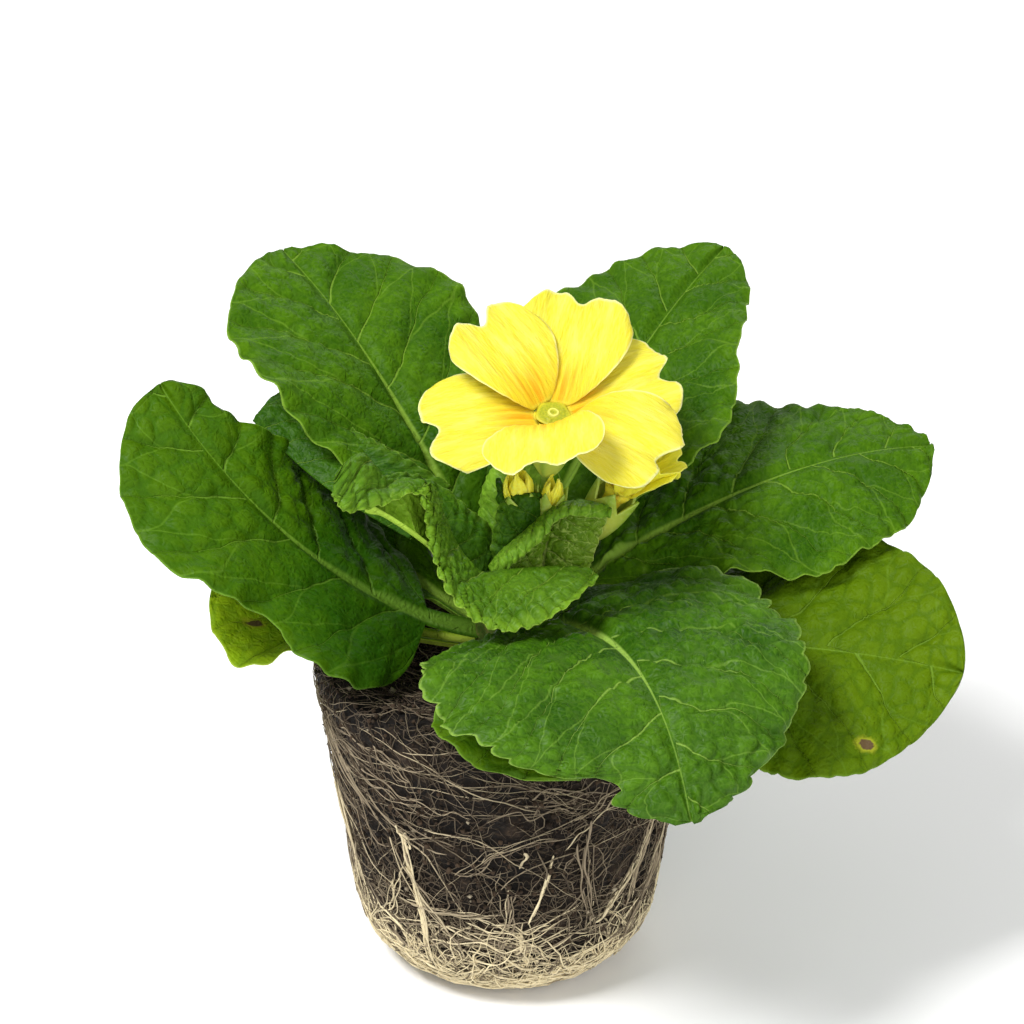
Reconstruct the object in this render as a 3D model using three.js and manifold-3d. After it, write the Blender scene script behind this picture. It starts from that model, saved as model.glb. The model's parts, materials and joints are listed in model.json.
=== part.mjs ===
// A primrose lifted out of its pot: bare root ball, leaf rosette, one open flower, one half open, and buds.
// Millimetres and degrees. +Z is up and the origin is the middle of the root ball's flat underside.
import * as THREE from 'three';
import { mergeVertices } from 'three/addons/utils/BufferGeometryUtils.js';
import Module from 'manifold-3d';

const wasm = await Module();
wasm.setup();

// ---------- driving dimensions ----------
const GAP = 0.3;                  // clearance between pieces that touch

const BALL = {                    // takes the taper of a 9 cm growing pot
  height: 76, topRadius: 43, footRadius: 31.5, edgeRadius: 14, rimRadius: 4, topDip: 4,
  sides: 32, lump: 0.6, seed: 3, ringHeights: [0, 1.2, 3.5, 8, 14, 24, 34, 44, 54, 64],
};
const ROOTS = {                   // thick roots that stand out of the ball's side
  seed: 7, thin: 0.7, thick: 1.1, sides: 4, steps: 7, sunkShare: 0.25, taper: 0.45,
  falling: 11, fallFrom: [34, 58], fallTo: 4.4, drift: 0.5, bow: 0.12,
  girdling: 6, girdleHeight: 61, girdleSpread: 5, girdleSpan: [0.7, 1.3], girdleFall: [-6, 3], ripple: 1.2,
};
const CROWN = { radius: 7, foot: 62, footBevel: 6, shoulder: 84, top: 90, sides: 16 };

// Leaves. Values in threes are read at the base, the middle and the tip.
// heading: compass of the midrib, anticlockwise from +X; height: where the stalk leaves the crown;
// pitch: climb of the midrib; roll: left edge up; fold and curl: how each half is bent up from the midrib
// and then along its width; cleft: the side that is cut in (1 left, -1 right), where, how wide and how deep.
// "Left" is as seen from the base to the tip.
const BLADE = {
  startRadius: 4.5, stalkShare: 0.16, stalkHalf: 2.4, roll: [0, 0, 0],
  foldLeft: [12, 6, 0], foldRight: [12, 6, 0], curlLeft: [0, 0, 0], curlRight: [0, 0, 0],
  leftShare: 1, rightShare: 1, widest: 1.36, blunt: 0.62, wave: 2, waves: 3, wavePhase: 0, waveShift: 0.35,
  openedBy: 0.08, tipHalf: 1.2, thick: 0.8, ribDepth: 1.4, notchDepth: 0.035, cleft: [1, 0, 1, 0],
  rows: 16, tipCrowding: 1.25, columns: [0.28, 0.64, 1],
};
const LEAVES = {
  leaf_back_left: { heading: [131, 130, 127], height: 82, length: 100, width: 60, pitch: [60, 40, 14],
    roll: [8, 6, 4], foldRight: [28, 14, 2], leftShare: 1.02, rightShare: 0.95 },
  leaf_left: { heading: [192, 176, 136], height: 80, length: 94, width: 62, pitch: [16, 42, 44],
    roll: [-30, -24, -20], foldLeft: [-12, 4, -8], foldRight: [-10, -12, -6], rightShare: 0.76,
    widest: 0.78, blunt: 0.52, cleft: [1, 0.5, 0.13, 0.34] },
  leaf_curled: { root: -140, startRadius: 6.9, heading: [283, 210, 165], height: 87.7, length: 68, width: 50,
    pitch: [40, 50, 18], foldLeft: [60, 30, 80], curlLeft: [-84, -100, -30], foldRight: [20, 20, 40],
    rightShare: 0.2, stalkShare: 0.08, widest: 0.5, blunt: 0.5, wave: 1, tipHalf: 2.4 },
  leaf_right: { heading: [20, 20, 20], height: 81, length: 103, width: 56, pitch: [31, 17, -10],
    foldLeft: [10, 5, 0], foldRight: [-8, -18, -28], rightShare: 0.94 },
  leaf_back_right: { heading: [55, 55, 55], height: 83, length: 103, width: 50, pitch: [56, 34, 12],
    leftShare: 1.08, rightShare: 0.84, widest: 1.05 },
  leaf_front: { heading: [-45, -66, -74], height: 80.75, length: 87, width: 78, pitch: [33, -1, -58],
    foldLeft: [14, 8, 0], foldRight: [10, 6, 0], curlLeft: [0, -10, -20], curlRight: [0, -10, -20],
    leftShare: 0.94, rightShare: 1.14, widest: 0.85, stalkShare: 0.1 },
  leaf_right_low: { heading: [-12, -12, -14], height: 77.2, length: 97, width: 60, pitch: [9, 3, -8],
    roll: [0, 24, 42], foldLeft: [-8, -6, -2], foldRight: [0, 0, -5] },
  leaf_front_low: { heading: [-76, -72, -68], height: 76, length: 56, width: 50, pitch: [14, -2, -34] },
  leaf_left_low: { heading: [174, 172, 166], height: 76, length: 62, width: 44, pitch: [4, 10, 16],
    roll: [0, -6, -10], stalkShare: 0.42 },
  leaf_rear_left: { heading: [152, 146, 138], height: 79, length: 84, width: 50, pitch: [22, 11, 0] },
  leaf_rear: { heading: [97, 97, 97], height: 80, length: 84, width: 50, pitch: [42, 18, -12] },
  leaf_rear_right: { heading: [48, 44, 40], height: 76, length: 86, width: 52, pitch: [8, 2, -20] },
};
const YOUNG = {                   // values that the small inner leaves share
  startRadius: 4.2, height: 86, length: 30, width: 22, stalkShare: 0.1, stalkHalf: 1.3, widest: 1.1,
  foldLeft: [40, 40, 30], foldRight: [40, 40, 30], curlLeft: [-40, -110, -90], curlRight: [-40, -110, -90],
  wave: 0.8, waves: 4, ribDepth: 0.9, rows: 10, columns: [0.35, 0.7, 1],
};
const YOUNG_LEAVES = {
  young_leaf_front: { ...YOUNG, root: -22, startRadius: 5.6, height: 87.4, heading: [-26, -78, -88],
    pitch: [38, 79, 89], foldLeft: [0, 5, 10], foldRight: [22, 22, 10], length: 23, width: 12.4 },
  young_leaf_left: { ...YOUNG, startRadius: 4.1, height: 88.5, heading: [-106, -100, -96],
    pitch: [79, 86, 92], foldLeft: [10, 10, 10], foldRight: [10, 15, 10], length: 22, width: 10 },
  young_leaf_rear: { ...YOUNG, heading: [82, 82, 82], pitch: [68, 72, 60], length: 32, width: 17 },
  young_leaf_side: { ...YOUNG, startRadius: 5, heading: [176, 184, 190], pitch: [40, 56, 56],
    length: 26, width: 10 },
};

// Flowers. A petal is a short broad blade: reach is cut back at its middle (notch) and at its shoulders.
const PETAL = {
  length: 25, claw: 2.3, half: 13.5, widens: 0.8, tipTaper: 0.12, notch: 0.13, notchWidth: 0.2,
  shoulder: 0.26, thick: 0.7, pitch: [30, 16, 10], roll: 0, fold: [10, 6, 0], curl: [0, 10, 0],
  clear: 0.2, clawLift: 0.4, liftedBy: 1 / 3, rows: 5, columns: [0.24, 0.62, 1],
};
const OPEN_FLOWER = {
  centre: [10, -5, 134.4], lean: 19, turn: 4, throatRadius: 3.5, tubeLength: 15, tubeRadius: 1.6,
  petals: [
    { heading: 133, lift: 1.4, pitch: [26, 20, 14], half: 12.5 },
    { heading: 79, lift: 0.7, pitch: [26, 20, 16], length: 27 },
    { heading: 24, lift: 0, pitch: [20, 12, 4] },
    { heading: -32, lift: 1.5, pitch: [18, 4, -10], half: 14.5 },
    { heading: -94, lift: 2.7, pitch: [24, 20, 14], half: 14, roll: 20, curl: [0, 4, 8] },
    { heading: 196, lift: 0, pitch: [14, 0, -10], half: 14.5 },
  ],
};
const HALF_FLOWER = {
  centre: [24.5, 0, 114.5], lean: 5, turn: 30, throatRadius: 2.4, tubeLength: 13, tubeRadius: 1.5,
  petals: [0, 72, 144, 216, 288].map((heading, i) => (
    { heading: heading + 10, lift: 0.4 * (i % 2), length: 15, half: 7, pitch: [78, 68, 50], rows: 3,
      columns: [0.4, 1] })),
};
const THROAT = { wall: 0.4, cupDepth: 1.6, rimOut: 0.9, rimUp: 0.7, flareBelow: 6, flare: 1.3, sides: 15 };
const EYE = { knob: 1.15, knobRise: 2.6, rimRise: 1.4, dishRise: 0.6, sides: 12 };
const CALYX = {
  length: 15.8, belowTube: 1.6, foot: 1.9, mouth: 4.9, bulge: 0.9, tooth: 4.5, wall: 0.7, rib: 0.35,
  lobes: 5, perLobe: 3,
};
const STALK = {
  radius: 1.3, sides: 6, steps: 5, footSpread: 2.6, footHeight: 86, footRise: 8, neckBelow: 6, sunk: 0.4,
  firstFoot: 150, footStep: 95,
};
const BUD = {                     // outline: [share of the length, share of the radius]
  outline: [[0, 0.45], [0.15, 0.6], [0.4, 0.92], [0.65, 1], [0.85, 0.75], [1, 0.3]],
  sides: 15, folds: 5, foldDepth: 0.16, twist: 1.2, tooth: 2.6, stalkRadius: 0.9, stalkSides: 5, sunk: 2.6,
  firstFoot: -110,
};
const BUDS = [
  { at: [3.4, -3, 109], radius: 2.5, length: 11, lean: [-6, 0] },
  { at: [9.2, -3.1, 109.4], radius: 2.1, length: 9.2, lean: [8, 3] },
];

// ---------- small tools ----------
const rad = THREE.MathUtils.degToRad;
const clamp = THREE.MathUtils.clamp;

function randomFrom(seed) {
  let state = seed >>> 0;
  return () => {
    state = (state * 1664525 + 1013904223) >>> 0;
    return state / 4294967296;
  };
}

// The smooth curve through three values, read at u = 0, 1/2 and 1.
function through([base, middle, tip], u) {
  return base * (1 - u) * (1 - 2 * u) + 4 * middle * u * (1 - u) + tip * u * (2 * u - 1);
}

function geometryOf(points, faces) {
  const geometry = new THREE.BufferGeometry();
  geometry.setAttribute('position', new THREE.Float32BufferAttribute(points.flatMap((p) => p.toArray()), 3));
  geometry.setIndex(faces.flat());
  return geometry;
}

// A closed solid through rings of equal count, with a fan over each end. A ring runs anticlockwise as seen
// looking back along the direction in which the rings follow one another.
function loft(rings) {
  const count = rings[0].length;
  const points = rings.flat();
  const faces = [];
  for (let k = 0; k + 1 < rings.length; k += 1) {
    for (let i = 0; i < count; i += 1) {
      const a = k * count + i;
      const b = k * count + (i + 1) % count;
      faces.push([a, b, b + count], [a, b + count, a + count]);
    }
  }
  [0, rings.length - 1].forEach((k) => {
    const middle = rings[k].reduce((sum, p) => sum.add(p), new THREE.Vector3()).divideScalar(count);
    const hub = points.push(middle) - 1;
    for (let i = 0; i < count; i += 1) {
      const a = k * count + i;
      const b = k * count + (i + 1) % count;
      faces.push(k === 0 ? [hub, b, a] : [hub, a, b]);
    }
  });
  return geometryOf(points, faces);
}

// A round rod along a list of points, with a radius for each.
function rod(path, radii, sides) {
  const curve = new THREE.CatmullRomCurve3(path);
  const frames = curve.computeFrenetFrames(radii.length - 1);
  return loft(radii.map((radius, k) => {
    const centre = curve.getPointAt(k / (radii.length - 1));
    return Array.from({ length: sides }, (_, i) => {
      const angle = (2 * Math.PI * i) / sides;
      return centre.clone()
        .addScaledVector(frames.normals[k], radius * Math.cos(angle))
        .addScaledVector(frames.binormals[k], radius * Math.sin(angle));
    });
  }));
}

// A thin closed solid on a grid of middle points: points[row][column] with a thickness for each, split into
// triangles alike on both faces. depthBelow thickens it on the underside alone.
function sheet(points, thick, depthBelow = () => 0) {
  const rows = points.length;
  const columns = points[0].length;
  const at = (i, j) => points[clamp(i, 0, rows - 1)][clamp(j, 0, columns - 1)];
  const upper = [];
  const lower = [];
  points.forEach((row, i) => row.forEach((p, j) => {
    const along = at(i + 1, j).clone().sub(at(i - 1, j));
    const across = at(i, j + 1).clone().sub(at(i, j - 1));
    const normal = along.cross(across).normalize();
    upper.push(p.clone().addScaledVector(normal, thick / 2));
    lower.push(p.clone().addScaledVector(normal, -thick / 2 - depthBelow(i, j)));
  }));
  const total = rows * columns;
  const faces = [];
  const quad = (a, b, c, d) => faces.push([a, b, c], [a, c, d]);
  for (let i = 0; i + 1 < rows; i += 1) {
    for (let j = 0; j + 1 < columns; j += 1) {
      const a = i * columns + j;
      const c = a + columns + 1;
      faces.push([a, c, a + 1], [a, a + columns, c]);
      quad(a + total, a + 1 + total, c + total, a + columns + total);
    }
  }
  const rim = [];
  for (let j = 0; j < columns; j += 1) rim.push(j);
  for (let i = 1; i < rows; i += 1) rim.push(i * columns + columns - 1);
  for (let j = columns - 2; j >= 0; j -= 1) rim.push((rows - 1) * columns + j);
  for (let i = rows - 2; i > 0; i -= 1) rim.push(i * columns);
  rim.forEach((a, k) => {
    const b = rim[(k + 1) % rim.length];
    quad(a, b, b + total, a + total);
  });
  return geometryOf(upper.concat(lower), faces);
}

function lathe(profile, sides) {
  const outline = profile.map(([r, z]) => new THREE.Vector2(r, z));
  return new THREE.LatheGeometry(outline, sides).rotateX(Math.PI / 2);
}

function solidOf(geometry) {
  const bare = geometry.clone();
  bare.deleteAttribute('normal');
  bare.deleteAttribute('uv');
  const welded = mergeVertices(bare, 1e-4);
  return new wasm.Manifold(new wasm.Mesh({
    numProp: 3,
    vertProperties: new Float32Array(welded.attributes.position.array),
    triVerts: new Uint32Array(welded.index.array),
  }));
}

function geometryFrom(solid) {
  const mesh = solid.getMesh();
  const geometry = new THREE.BufferGeometry();
  geometry.setAttribute('position', new THREE.BufferAttribute(mesh.vertProperties, 3));
  geometry.setIndex(new THREE.BufferAttribute(mesh.triVerts, 1));
  return geometry;
}

function joined(geometries) {
  return geometryFrom(geometries.map(solidOf).reduce((sum, next) => sum.add(next)));
}

function cutBy(geometry, cutter) {
  return geometryFrom(solidOf(geometry).subtract(solidOf(cutter)));
}

// ---------- midrib and blade ----------
// The midrib's points and frames, from integrating its heading and pitch over its length.
function midrib(spec, start) {
  const steps = 60;
  const position = start.clone();
  const frames = [];
  for (let k = 0; k <= steps; k += 1) {
    const u = k / steps;
    const heading = rad(through(spec.heading, u));
    const pitch = rad(through(spec.pitch, u));
    const along = new THREE.Vector3(
      Math.cos(pitch) * Math.cos(heading), Math.cos(pitch) * Math.sin(heading), Math.sin(pitch));
    const level = new THREE.Vector3(-Math.sin(heading), Math.cos(heading), 0);
    const up = along.clone().cross(level);
    const roll = rad(through(spec.roll, u));
    const left = level.clone().multiplyScalar(Math.cos(roll)).addScaledVector(up, Math.sin(roll));
    const normal = along.clone().cross(left);
    frames.push({ point: position.clone(), left, normal });
    position.addScaledVector(along, spec.length / steps);
  }
  return (u) => {
    const s = clamp(u, 0, 1) * steps;
    const k = Math.min(Math.floor(s), steps - 1);
    const { point, left, normal } = frames[k];
    const next = frames[k + 1];
    const part = s - k;
    return {
      point: point.clone().lerp(next.point, part),
      left: left.clone().lerp(next.left, part).normalize(),
      normal: normal.clone().lerp(next.normal, part).normalize(),
    };
  };
}

// A point at a distance from the midrib, on a half that is folded up and then curled along its width.
function besideMidrib(frame, side, width, share, fold, curl, rise) {
  const bend = Math.abs(curl) < 1e-3 ? 1e-3 : curl;
  const out = (width * (Math.sin(fold + bend * share) - Math.sin(fold))) / bend;
  const lift = (width * (Math.cos(fold) - Math.cos(fold + bend * share))) / bend + rise;
  return frame.point.clone().addScaledVector(frame.left, side * out).addScaledVector(frame.normal, lift);
}

function leafHalfWidth(leaf, side, u, row) {
  const blade = clamp((u - leaf.stalkShare) / (1 - leaf.stalkShare), 0, 1);
  const share = side > 0 ? leaf.leftShare : leaf.rightShare;
  const shape = Math.sin(Math.PI * blade ** leaf.widest) ** leaf.blunt || 0;
  const notched = row % 2 === 0 && blade > 0 ? 1 - leaf.notchDepth : 1;
  const [cleftSide, cleftAt, cleftSpan, cleftDepth] = leaf.cleft;
  const cut = side === cleftSide ? 1 - cleftDepth * Math.exp(-(((u - cleftAt) / cleftSpan) ** 2)) : 1;
  const ends = leaf.stalkHalf * (1 - u ** 6) + leaf.tipHalf * u ** 6;
  return (leaf.width / 2) * share * shape * notched * cut + ends;
}

function leafPoint(leaf, spine, u, across, row) {
  const side = across < 0 ? -1 : 1;
  const share = Math.abs(across);
  const opened = THREE.MathUtils.smoothstep(u, 0, leaf.stalkShare + leaf.openedBy);
  const fold = rad(opened * through(side > 0 ? leaf.foldLeft : leaf.foldRight, u));
  const curl = rad(opened * through(side > 0 ? leaf.curlLeft : leaf.curlRight, u));
  const blade = clamp((u - leaf.stalkShare) / (1 - leaf.stalkShare), 0, 1);
  const swing = 2 * Math.PI * (leaf.waves * u + leaf.wavePhase + (side > 0 ? leaf.waveShift : 0));
  const rise = leaf.wave * share * share * Math.sin(swing) * Math.sin(Math.PI * blade);
  return besideMidrib(spine(u), side, leafHalfWidth(leaf, side, u, row), share, fold, curl, rise);
}

function leafGeometry(spec) {
  const leaf = { ...BLADE, ...spec };
  const compass = rad(leaf.root ?? leaf.heading[0]);
  const start = new THREE.Vector3(
    leaf.startRadius * Math.cos(compass), leaf.startRadius * Math.sin(compass), leaf.height);
  const spine = midrib(leaf, start);
  const across = [...leaf.columns.map((c) => -c).reverse(), 0, ...leaf.columns];
  const middle = leaf.columns.length;
  const points = [];
  for (let i = 0; i <= leaf.rows; i += 1) {
    const u = 1 - (1 - i / leaf.rows) ** leaf.tipCrowding;
    points.push(across.map((v) => leafPoint(leaf, spine, u, v, i)));
  }
  const depth = (i, j) => (j === middle ? leaf.ribDepth * (1 - (i / leaf.rows) ** 2) : 0);
  return sheet(points, leaf.thick, depth);
}

// ---------- flowers ----------
function flowerMatrix(flower) {
  const lean = new THREE.Matrix4().makeRotationX(rad(flower.lean));
  const turn = new THREE.Matrix4().makeRotationY(rad(flower.turn));
  return new THREE.Matrix4().makeTranslation(...flower.centre).multiply(turn).multiply(lean);
}

function petalGeometry(flower, spec) {
  const petal = { ...PETAL, ...spec };
  const compass = rad(petal.heading);
  const clawRadius = flower.throatRadius + petal.clear;
  const start = new THREE.Vector3(
    clawRadius * Math.cos(compass), clawRadius * Math.sin(compass), petal.lift * petal.clawLift);
  const blade = { ...petal, heading: Array(3).fill(petal.heading), roll: Array(3).fill(petal.roll) };
  const spine = midrib(blade, start);
  const across = [...petal.columns.map((c) => -c).reverse(), 0, ...petal.columns];
  const points = [];
  for (let i = 0; i <= petal.rows; i += 1) {
    const s = i / petal.rows;
    const widening = Math.sin((Math.PI / 2) * s ** petal.widens) * (1 - petal.tipTaper * s ** 5);
    const half = petal.claw + (petal.half - petal.claw) * widening;
    points.push(across.map((v) => {
      const notch = petal.notch * Math.exp(-((v / petal.notchWidth) ** 2));
      const reach = 1 - notch - petal.shoulder * v ** 4;
      const frame = spine(s * reach);
      const lift = petal.lift * Math.sin((Math.PI / 2) * Math.min(1, s / petal.liftedBy));
      const fold = rad(through(petal.fold, s));
      const curl = rad(through(petal.curl, s));
      return besideMidrib(frame, v < 0 ? -1 : 1, half, Math.abs(v), fold, curl, lift);
    }));
  }
  return sheet(points, petal.thick);
}

// The tube widens to a ring that carries the petals, round a cup that holds the eye.
function corollaGeometry(flower) {
  const r = flower.throatRadius;
  const { wall, cupDepth, rimOut, rimUp, flareBelow, flare, sides } = THROAT;
  const { tubeRadius, tubeLength } = flower;
  const tube = lathe([
    [0, -tubeLength], [tubeRadius, -tubeLength], [tubeRadius * flare, -flareBelow],
    [r - wall / 2, -cupDepth * 1.5], [r + rimOut, -wall], [r + rimOut - wall, rimUp],
    [r, rimUp - wall / 2], [r - wall, -cupDepth], [0, -cupDepth],
  ], sides);
  const petals = flower.petals.map((petal) => petalGeometry(flower, petal));
  return joined([tube, ...petals]).applyMatrix4(flowerMatrix(flower));
}

// A dished green disc in the throat with the knob of the style in its middle.
function eyeGeometry(flower) {
  const { knob, knobRise, rimRise, dishRise, sides } = EYE;
  const r = flower.throatRadius - THROAT.wall - GAP;
  const floor = GAP - THROAT.cupDepth;
  const disc = lathe([
    [0, floor], [r * 0.95, floor], [r, floor + rimRise], [r * 0.75, floor + rimRise * 0.9],
    [knob * 1.5, floor + dishRise], [knob * 0.75, floor + dishRise * 1.2],
    [knob * 0.9, floor + knobRise * 0.75], [knob, floor + knobRise * 0.9], [knob * 0.7, floor + knobRise],
    [knob * 0.5, floor + knobRise * 0.93], [0, floor + knobRise * 0.9],
  ], sides);
  return disc.applyMatrix4(flowerMatrix(flower));
}

// A cup with pointed teeth, its ribs running into them, round the corolla's tube.
function calyxGeometry(depth, tubeRadius) {
  const count = CALYX.lobes * CALYX.perLobe;
  const foot = -depth - CALYX.belowTube;
  const ring = (share, inset) => Array.from({ length: count }, (_, i) => {
    const angle = (2 * Math.PI * i) / count;
    const phase = ((i / CALYX.perLobe) % 1) * 2 - 1;
    const point = 1 - Math.abs(phase);
    const bulge = Math.sin(Math.PI * 0.9 * share) * CALYX.bulge;
    const radius = CALYX.foot + (CALYX.mouth - CALYX.foot) * share + bulge + CALYX.rib * point - inset;
    const z = foot + share * (CALYX.length - CALYX.tooth + CALYX.tooth * point * share);
    return new THREE.Vector3(radius * Math.cos(angle), radius * Math.sin(angle), z);
  });
  const floorInset = ring(0.14, 0).map((p) => {
    const flat = new THREE.Vector3(p.x, p.y, 0).setLength(tubeRadius + GAP);
    return flat.setZ(-depth - GAP);
  });
  const outer = [0, 0.2, 0.5, 0.8, 1].map((share) => ring(share, 0));
  const inner = [1, 0.8, 0.5].map((share) => ring(share, CALYX.wall));
  return { geometry: loft([...outer, ...inner, floorInset]), foot };
}

function stalkGeometry(flower, foot) {
  const matrix = flowerMatrix(flower);
  const calyx = calyxGeometry(flower.tubeLength, flower.tubeRadius);
  const cup = calyx.geometry.applyMatrix4(matrix);
  const top = new THREE.Vector3(0, 0, calyx.foot + STALK.sunk).applyMatrix4(matrix);
  const below = new THREE.Vector3(0, 0, calyx.foot - STALK.neckBelow).applyMatrix4(matrix);
  const rise = foot.clone().add(new THREE.Vector3(0, 0, STALK.footRise));
  const radii = Array(STALK.steps + 1).fill(STALK.radius);
  return joined([cup, rod([foot, rise, below, top], radii, STALK.sides)]);
}

// ---------- buds: pointed, spirally folded corollas in green cups, on short stalks ----------
function budMatrix(bud) {
  return new THREE.Matrix4().makeTranslation(...bud.at)
    .multiply(new THREE.Matrix4().makeRotationY(rad(bud.lean[0])))
    .multiply(new THREE.Matrix4().makeRotationX(rad(bud.lean[1])));
}

function budRing(bud, share, radius) {
  return Array.from({ length: BUD.sides }, (_, i) => {
    const around = (2 * Math.PI * i) / BUD.sides;
    const angle = around + share * BUD.twist;
    const fold = 1 + BUD.foldDepth * Math.cos(BUD.folds * around);
    return new THREE.Vector3(
      radius * fold * Math.cos(angle), radius * fold * Math.sin(angle), bud.length * share);
  });
}

function budPetals(bud) {
  const rings = BUD.outline.map(([share, width]) => budRing(bud, share, bud.radius * width));
  return loft(rings).applyMatrix4(budMatrix(bud));
}

function budCup(bud) {
  const ring = (z, radius, tooth) => Array.from({ length: BUD.sides }, (_, i) => {
    const angle = (2 * Math.PI * i) / BUD.sides;
    const point = i % 3 === 1 ? tooth : 0;
    return new THREE.Vector3(radius * Math.cos(angle), radius * Math.sin(angle), z + point);
  });
  const inside = bud.radius * (1 + BUD.foldDepth) + GAP;
  const outside = inside + CALYX.wall;
  return loft([
    ring(-3.4, BUD.stalkRadius * 1.2, 0), ring(-2, outside * 0.8, 0), ring(3, outside, 0),
    ring(4.6, outside, BUD.tooth), ring(4.4, inside, BUD.tooth), ring(2.5, inside, 0),
    ring(-GAP, inside * 0.7, 0),
  ]).applyMatrix4(budMatrix(bud));
}

function budGreens() {
  const stalks = BUDS.map((bud, i) => {
    const top = new THREE.Vector3(0, 0, -BUD.sunk).applyMatrix4(budMatrix(bud));
    const foot = stalkFoot(BUD.firstFoot + STALK.footStep * i);
    return rod([foot, foot.clone().lerp(top, 0.5), top], Array(4).fill(BUD.stalkRadius), BUD.stalkSides);
  });
  return joined([...BUDS.map(budCup), ...stalks]);
}

function stalkFoot(compass) {
  const r = STALK.footSpread;
  return new THREE.Vector3(r * Math.cos(rad(compass)), r * Math.sin(rad(compass)), STALK.footHeight);
}

// ---------- crown and root ball ----------
function crownProfile(grow) {
  const { radius, foot, footBevel, shoulder, top } = CROWN;
  return [
    [0, foot - grow], [radius * 0.7 + grow, foot - grow], [radius + grow, foot + footBevel],
    [radius + grow, shoulder], [radius * 0.8 + grow, (shoulder + top) / 2 + grow],
    [radius * 0.4 + grow, top + grow], [0, top + grow],
  ];
}

function ballRadius(z) {
  const wall = BALL.footRadius + ((BALL.topRadius - BALL.footRadius) * z) / BALL.height;
  if (z >= BALL.edgeRadius) return wall;
  const rise = (BALL.edgeRadius - z) / BALL.edgeRadius;
  return wall - BALL.edgeRadius * (1 - Math.sqrt(1 - rise * rise));
}

// One ring per height, pushed in and out a little so that the side is lumpy and not turned.
function ballGeometry() {
  const random = randomFrom(BALL.seed);
  const ring = (z, radius, lump) => Array.from({ length: BALL.sides }, (_, i) => {
    const angle = (2 * Math.PI * i) / BALL.sides;
    const r = radius + lump * (2 * random() - 1);
    return new THREE.Vector3(r * Math.cos(angle), r * Math.sin(angle), z);
  });
  const { height, rimRadius, topDip, lump, ringHeights } = BALL;
  const rings = ringHeights.map((z, k) => ring(z, ballRadius(z), k < 2 ? 0 : lump));
  rings.push(ring(height - rimRadius, ballRadius(height - rimRadius), lump));
  const top = ballRadius(height);
  rings.push(ring(height - rimRadius * 0.3, top - rimRadius * 0.3, lump));
  rings.push(ring(height, top - rimRadius * 1.6, lump));
  rings.push(ring(height - topDip, CROWN.radius * 3, 0));
  rings.push(ring(height - topDip, CROWN.radius * 1.5, 0));
  return loft(rings);
}

function onSide(angle, z, sink) {
  const r = ballRadius(z) - sink;
  return new THREE.Vector3(r * Math.cos(angle), r * Math.sin(angle), z);
}

function rootCords() {
  const random = randomFrom(ROOTS.seed);
  const between = ([low, high]) => low + (high - low) * random();
  const within = (reach) => between([-reach, reach]);
  const cords = [];
  const cord = (pathAt) => {
    const thick = between([ROOTS.thin, ROOTS.thick]);
    const shares = Array.from({ length: ROOTS.steps + 1 }, (_, k) => k / ROOTS.steps);
    const path = shares.map((s) => pathAt(s, thick * ROOTS.sunkShare));
    const radii = shares.map((s) => thick * (1 - ROOTS.taper * s));
    cords.push(rod(path, radii, ROOTS.sides));
  };
  for (let i = 0; i < ROOTS.falling; i += 1) {
    const from = (2 * Math.PI * (i + between([0, 0.6]))) / ROOTS.falling;
    const top = between(ROOTS.fallFrom);
    const drift = within(ROOTS.drift);
    const bow = within(ROOTS.bow);
    cord((s, sink) => onSide(
      from + drift * s + bow * Math.sin(2 * Math.PI * s), top + (ROOTS.fallTo - top) * s, sink));
  }
  for (let i = 0; i < ROOTS.girdling; i += 1) {
    const from = (2 * Math.PI * (i + between([0, 0.5]))) / ROOTS.girdling;
    const span = between(ROOTS.girdleSpan);
    const start = ROOTS.girdleHeight + within(ROOTS.girdleSpread);
    const fall = between(ROOTS.girdleFall);
    cord((s, sink) => onSide(from + span * s, start + fall * s + ROOTS.ripple * Math.sin(5 * s), sink));
  }
  return cords;
}

// ---------- the assembly ----------
const COLOURS = {
  peat: 0x3a2c22, crown: 0x8fae4a, leaf: 0x3f7d1f, leafLow: 0x6b9a2c, young: 0x6fa52e,
  petal: 0xf6ee4a, eye: 0xa8b32a, calyx: 0x8db23c, bud: 0xe8cf2a,
};
const part = new THREE.Group();

function add(name, geometry, colour, roughness) {
  const material = new THREE.MeshStandardMaterial({ color: colour, roughness, metalness: 0 });
  const mesh = new THREE.Mesh(geometry, material);
  mesh.name = name;
  part.add(mesh);
}

const crown = lathe(crownProfile(0), CROWN.sides);
const crownSpace = lathe(crownProfile(GAP), CROWN.sides);
const ball = joined([ballGeometry(), ...rootCords()]);

add('root_ball', cutBy(ball, crownSpace), COLOURS.peat, 0.95);
add('crown', crown, COLOURS.crown, 0.7);
Object.entries(LEAVES).forEach(([name, leaf]) => {
  const colour = name.endsWith('_low') ? COLOURS.leafLow : COLOURS.leaf;
  add(name, cutBy(leafGeometry(leaf), crownSpace), colour, 0.6);
});
Object.entries(YOUNG_LEAVES).forEach(([name, leaf]) => {
  add(name, cutBy(leafGeometry(leaf), crownSpace), COLOURS.young, 0.6);
});
const flowers = { flower_open: OPEN_FLOWER, flower_half: HALF_FLOWER };
Object.entries(flowers).forEach(([name, flower], i) => {
  const stalk = stalkGeometry(flower, stalkFoot(STALK.firstFoot - STALK.footStep * i));
  add(`${name}_stalk`, cutBy(stalk, crownSpace), COLOURS.calyx, 0.6);
  add(`${name}_petals`, corollaGeometry(flower), COLOURS.petal, 0.55);
  add(`${name}_eye`, eyeGeometry(flower), COLOURS.eye, 0.5);
});
add('bud_stalks', cutBy(budGreens(), crownSpace), COLOURS.calyx, 0.6);
BUDS.forEach((bud, i) => add(`bud_${i + 1}`, budPetals(bud), COLOURS.bud, 0.55));

export default part;
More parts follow.
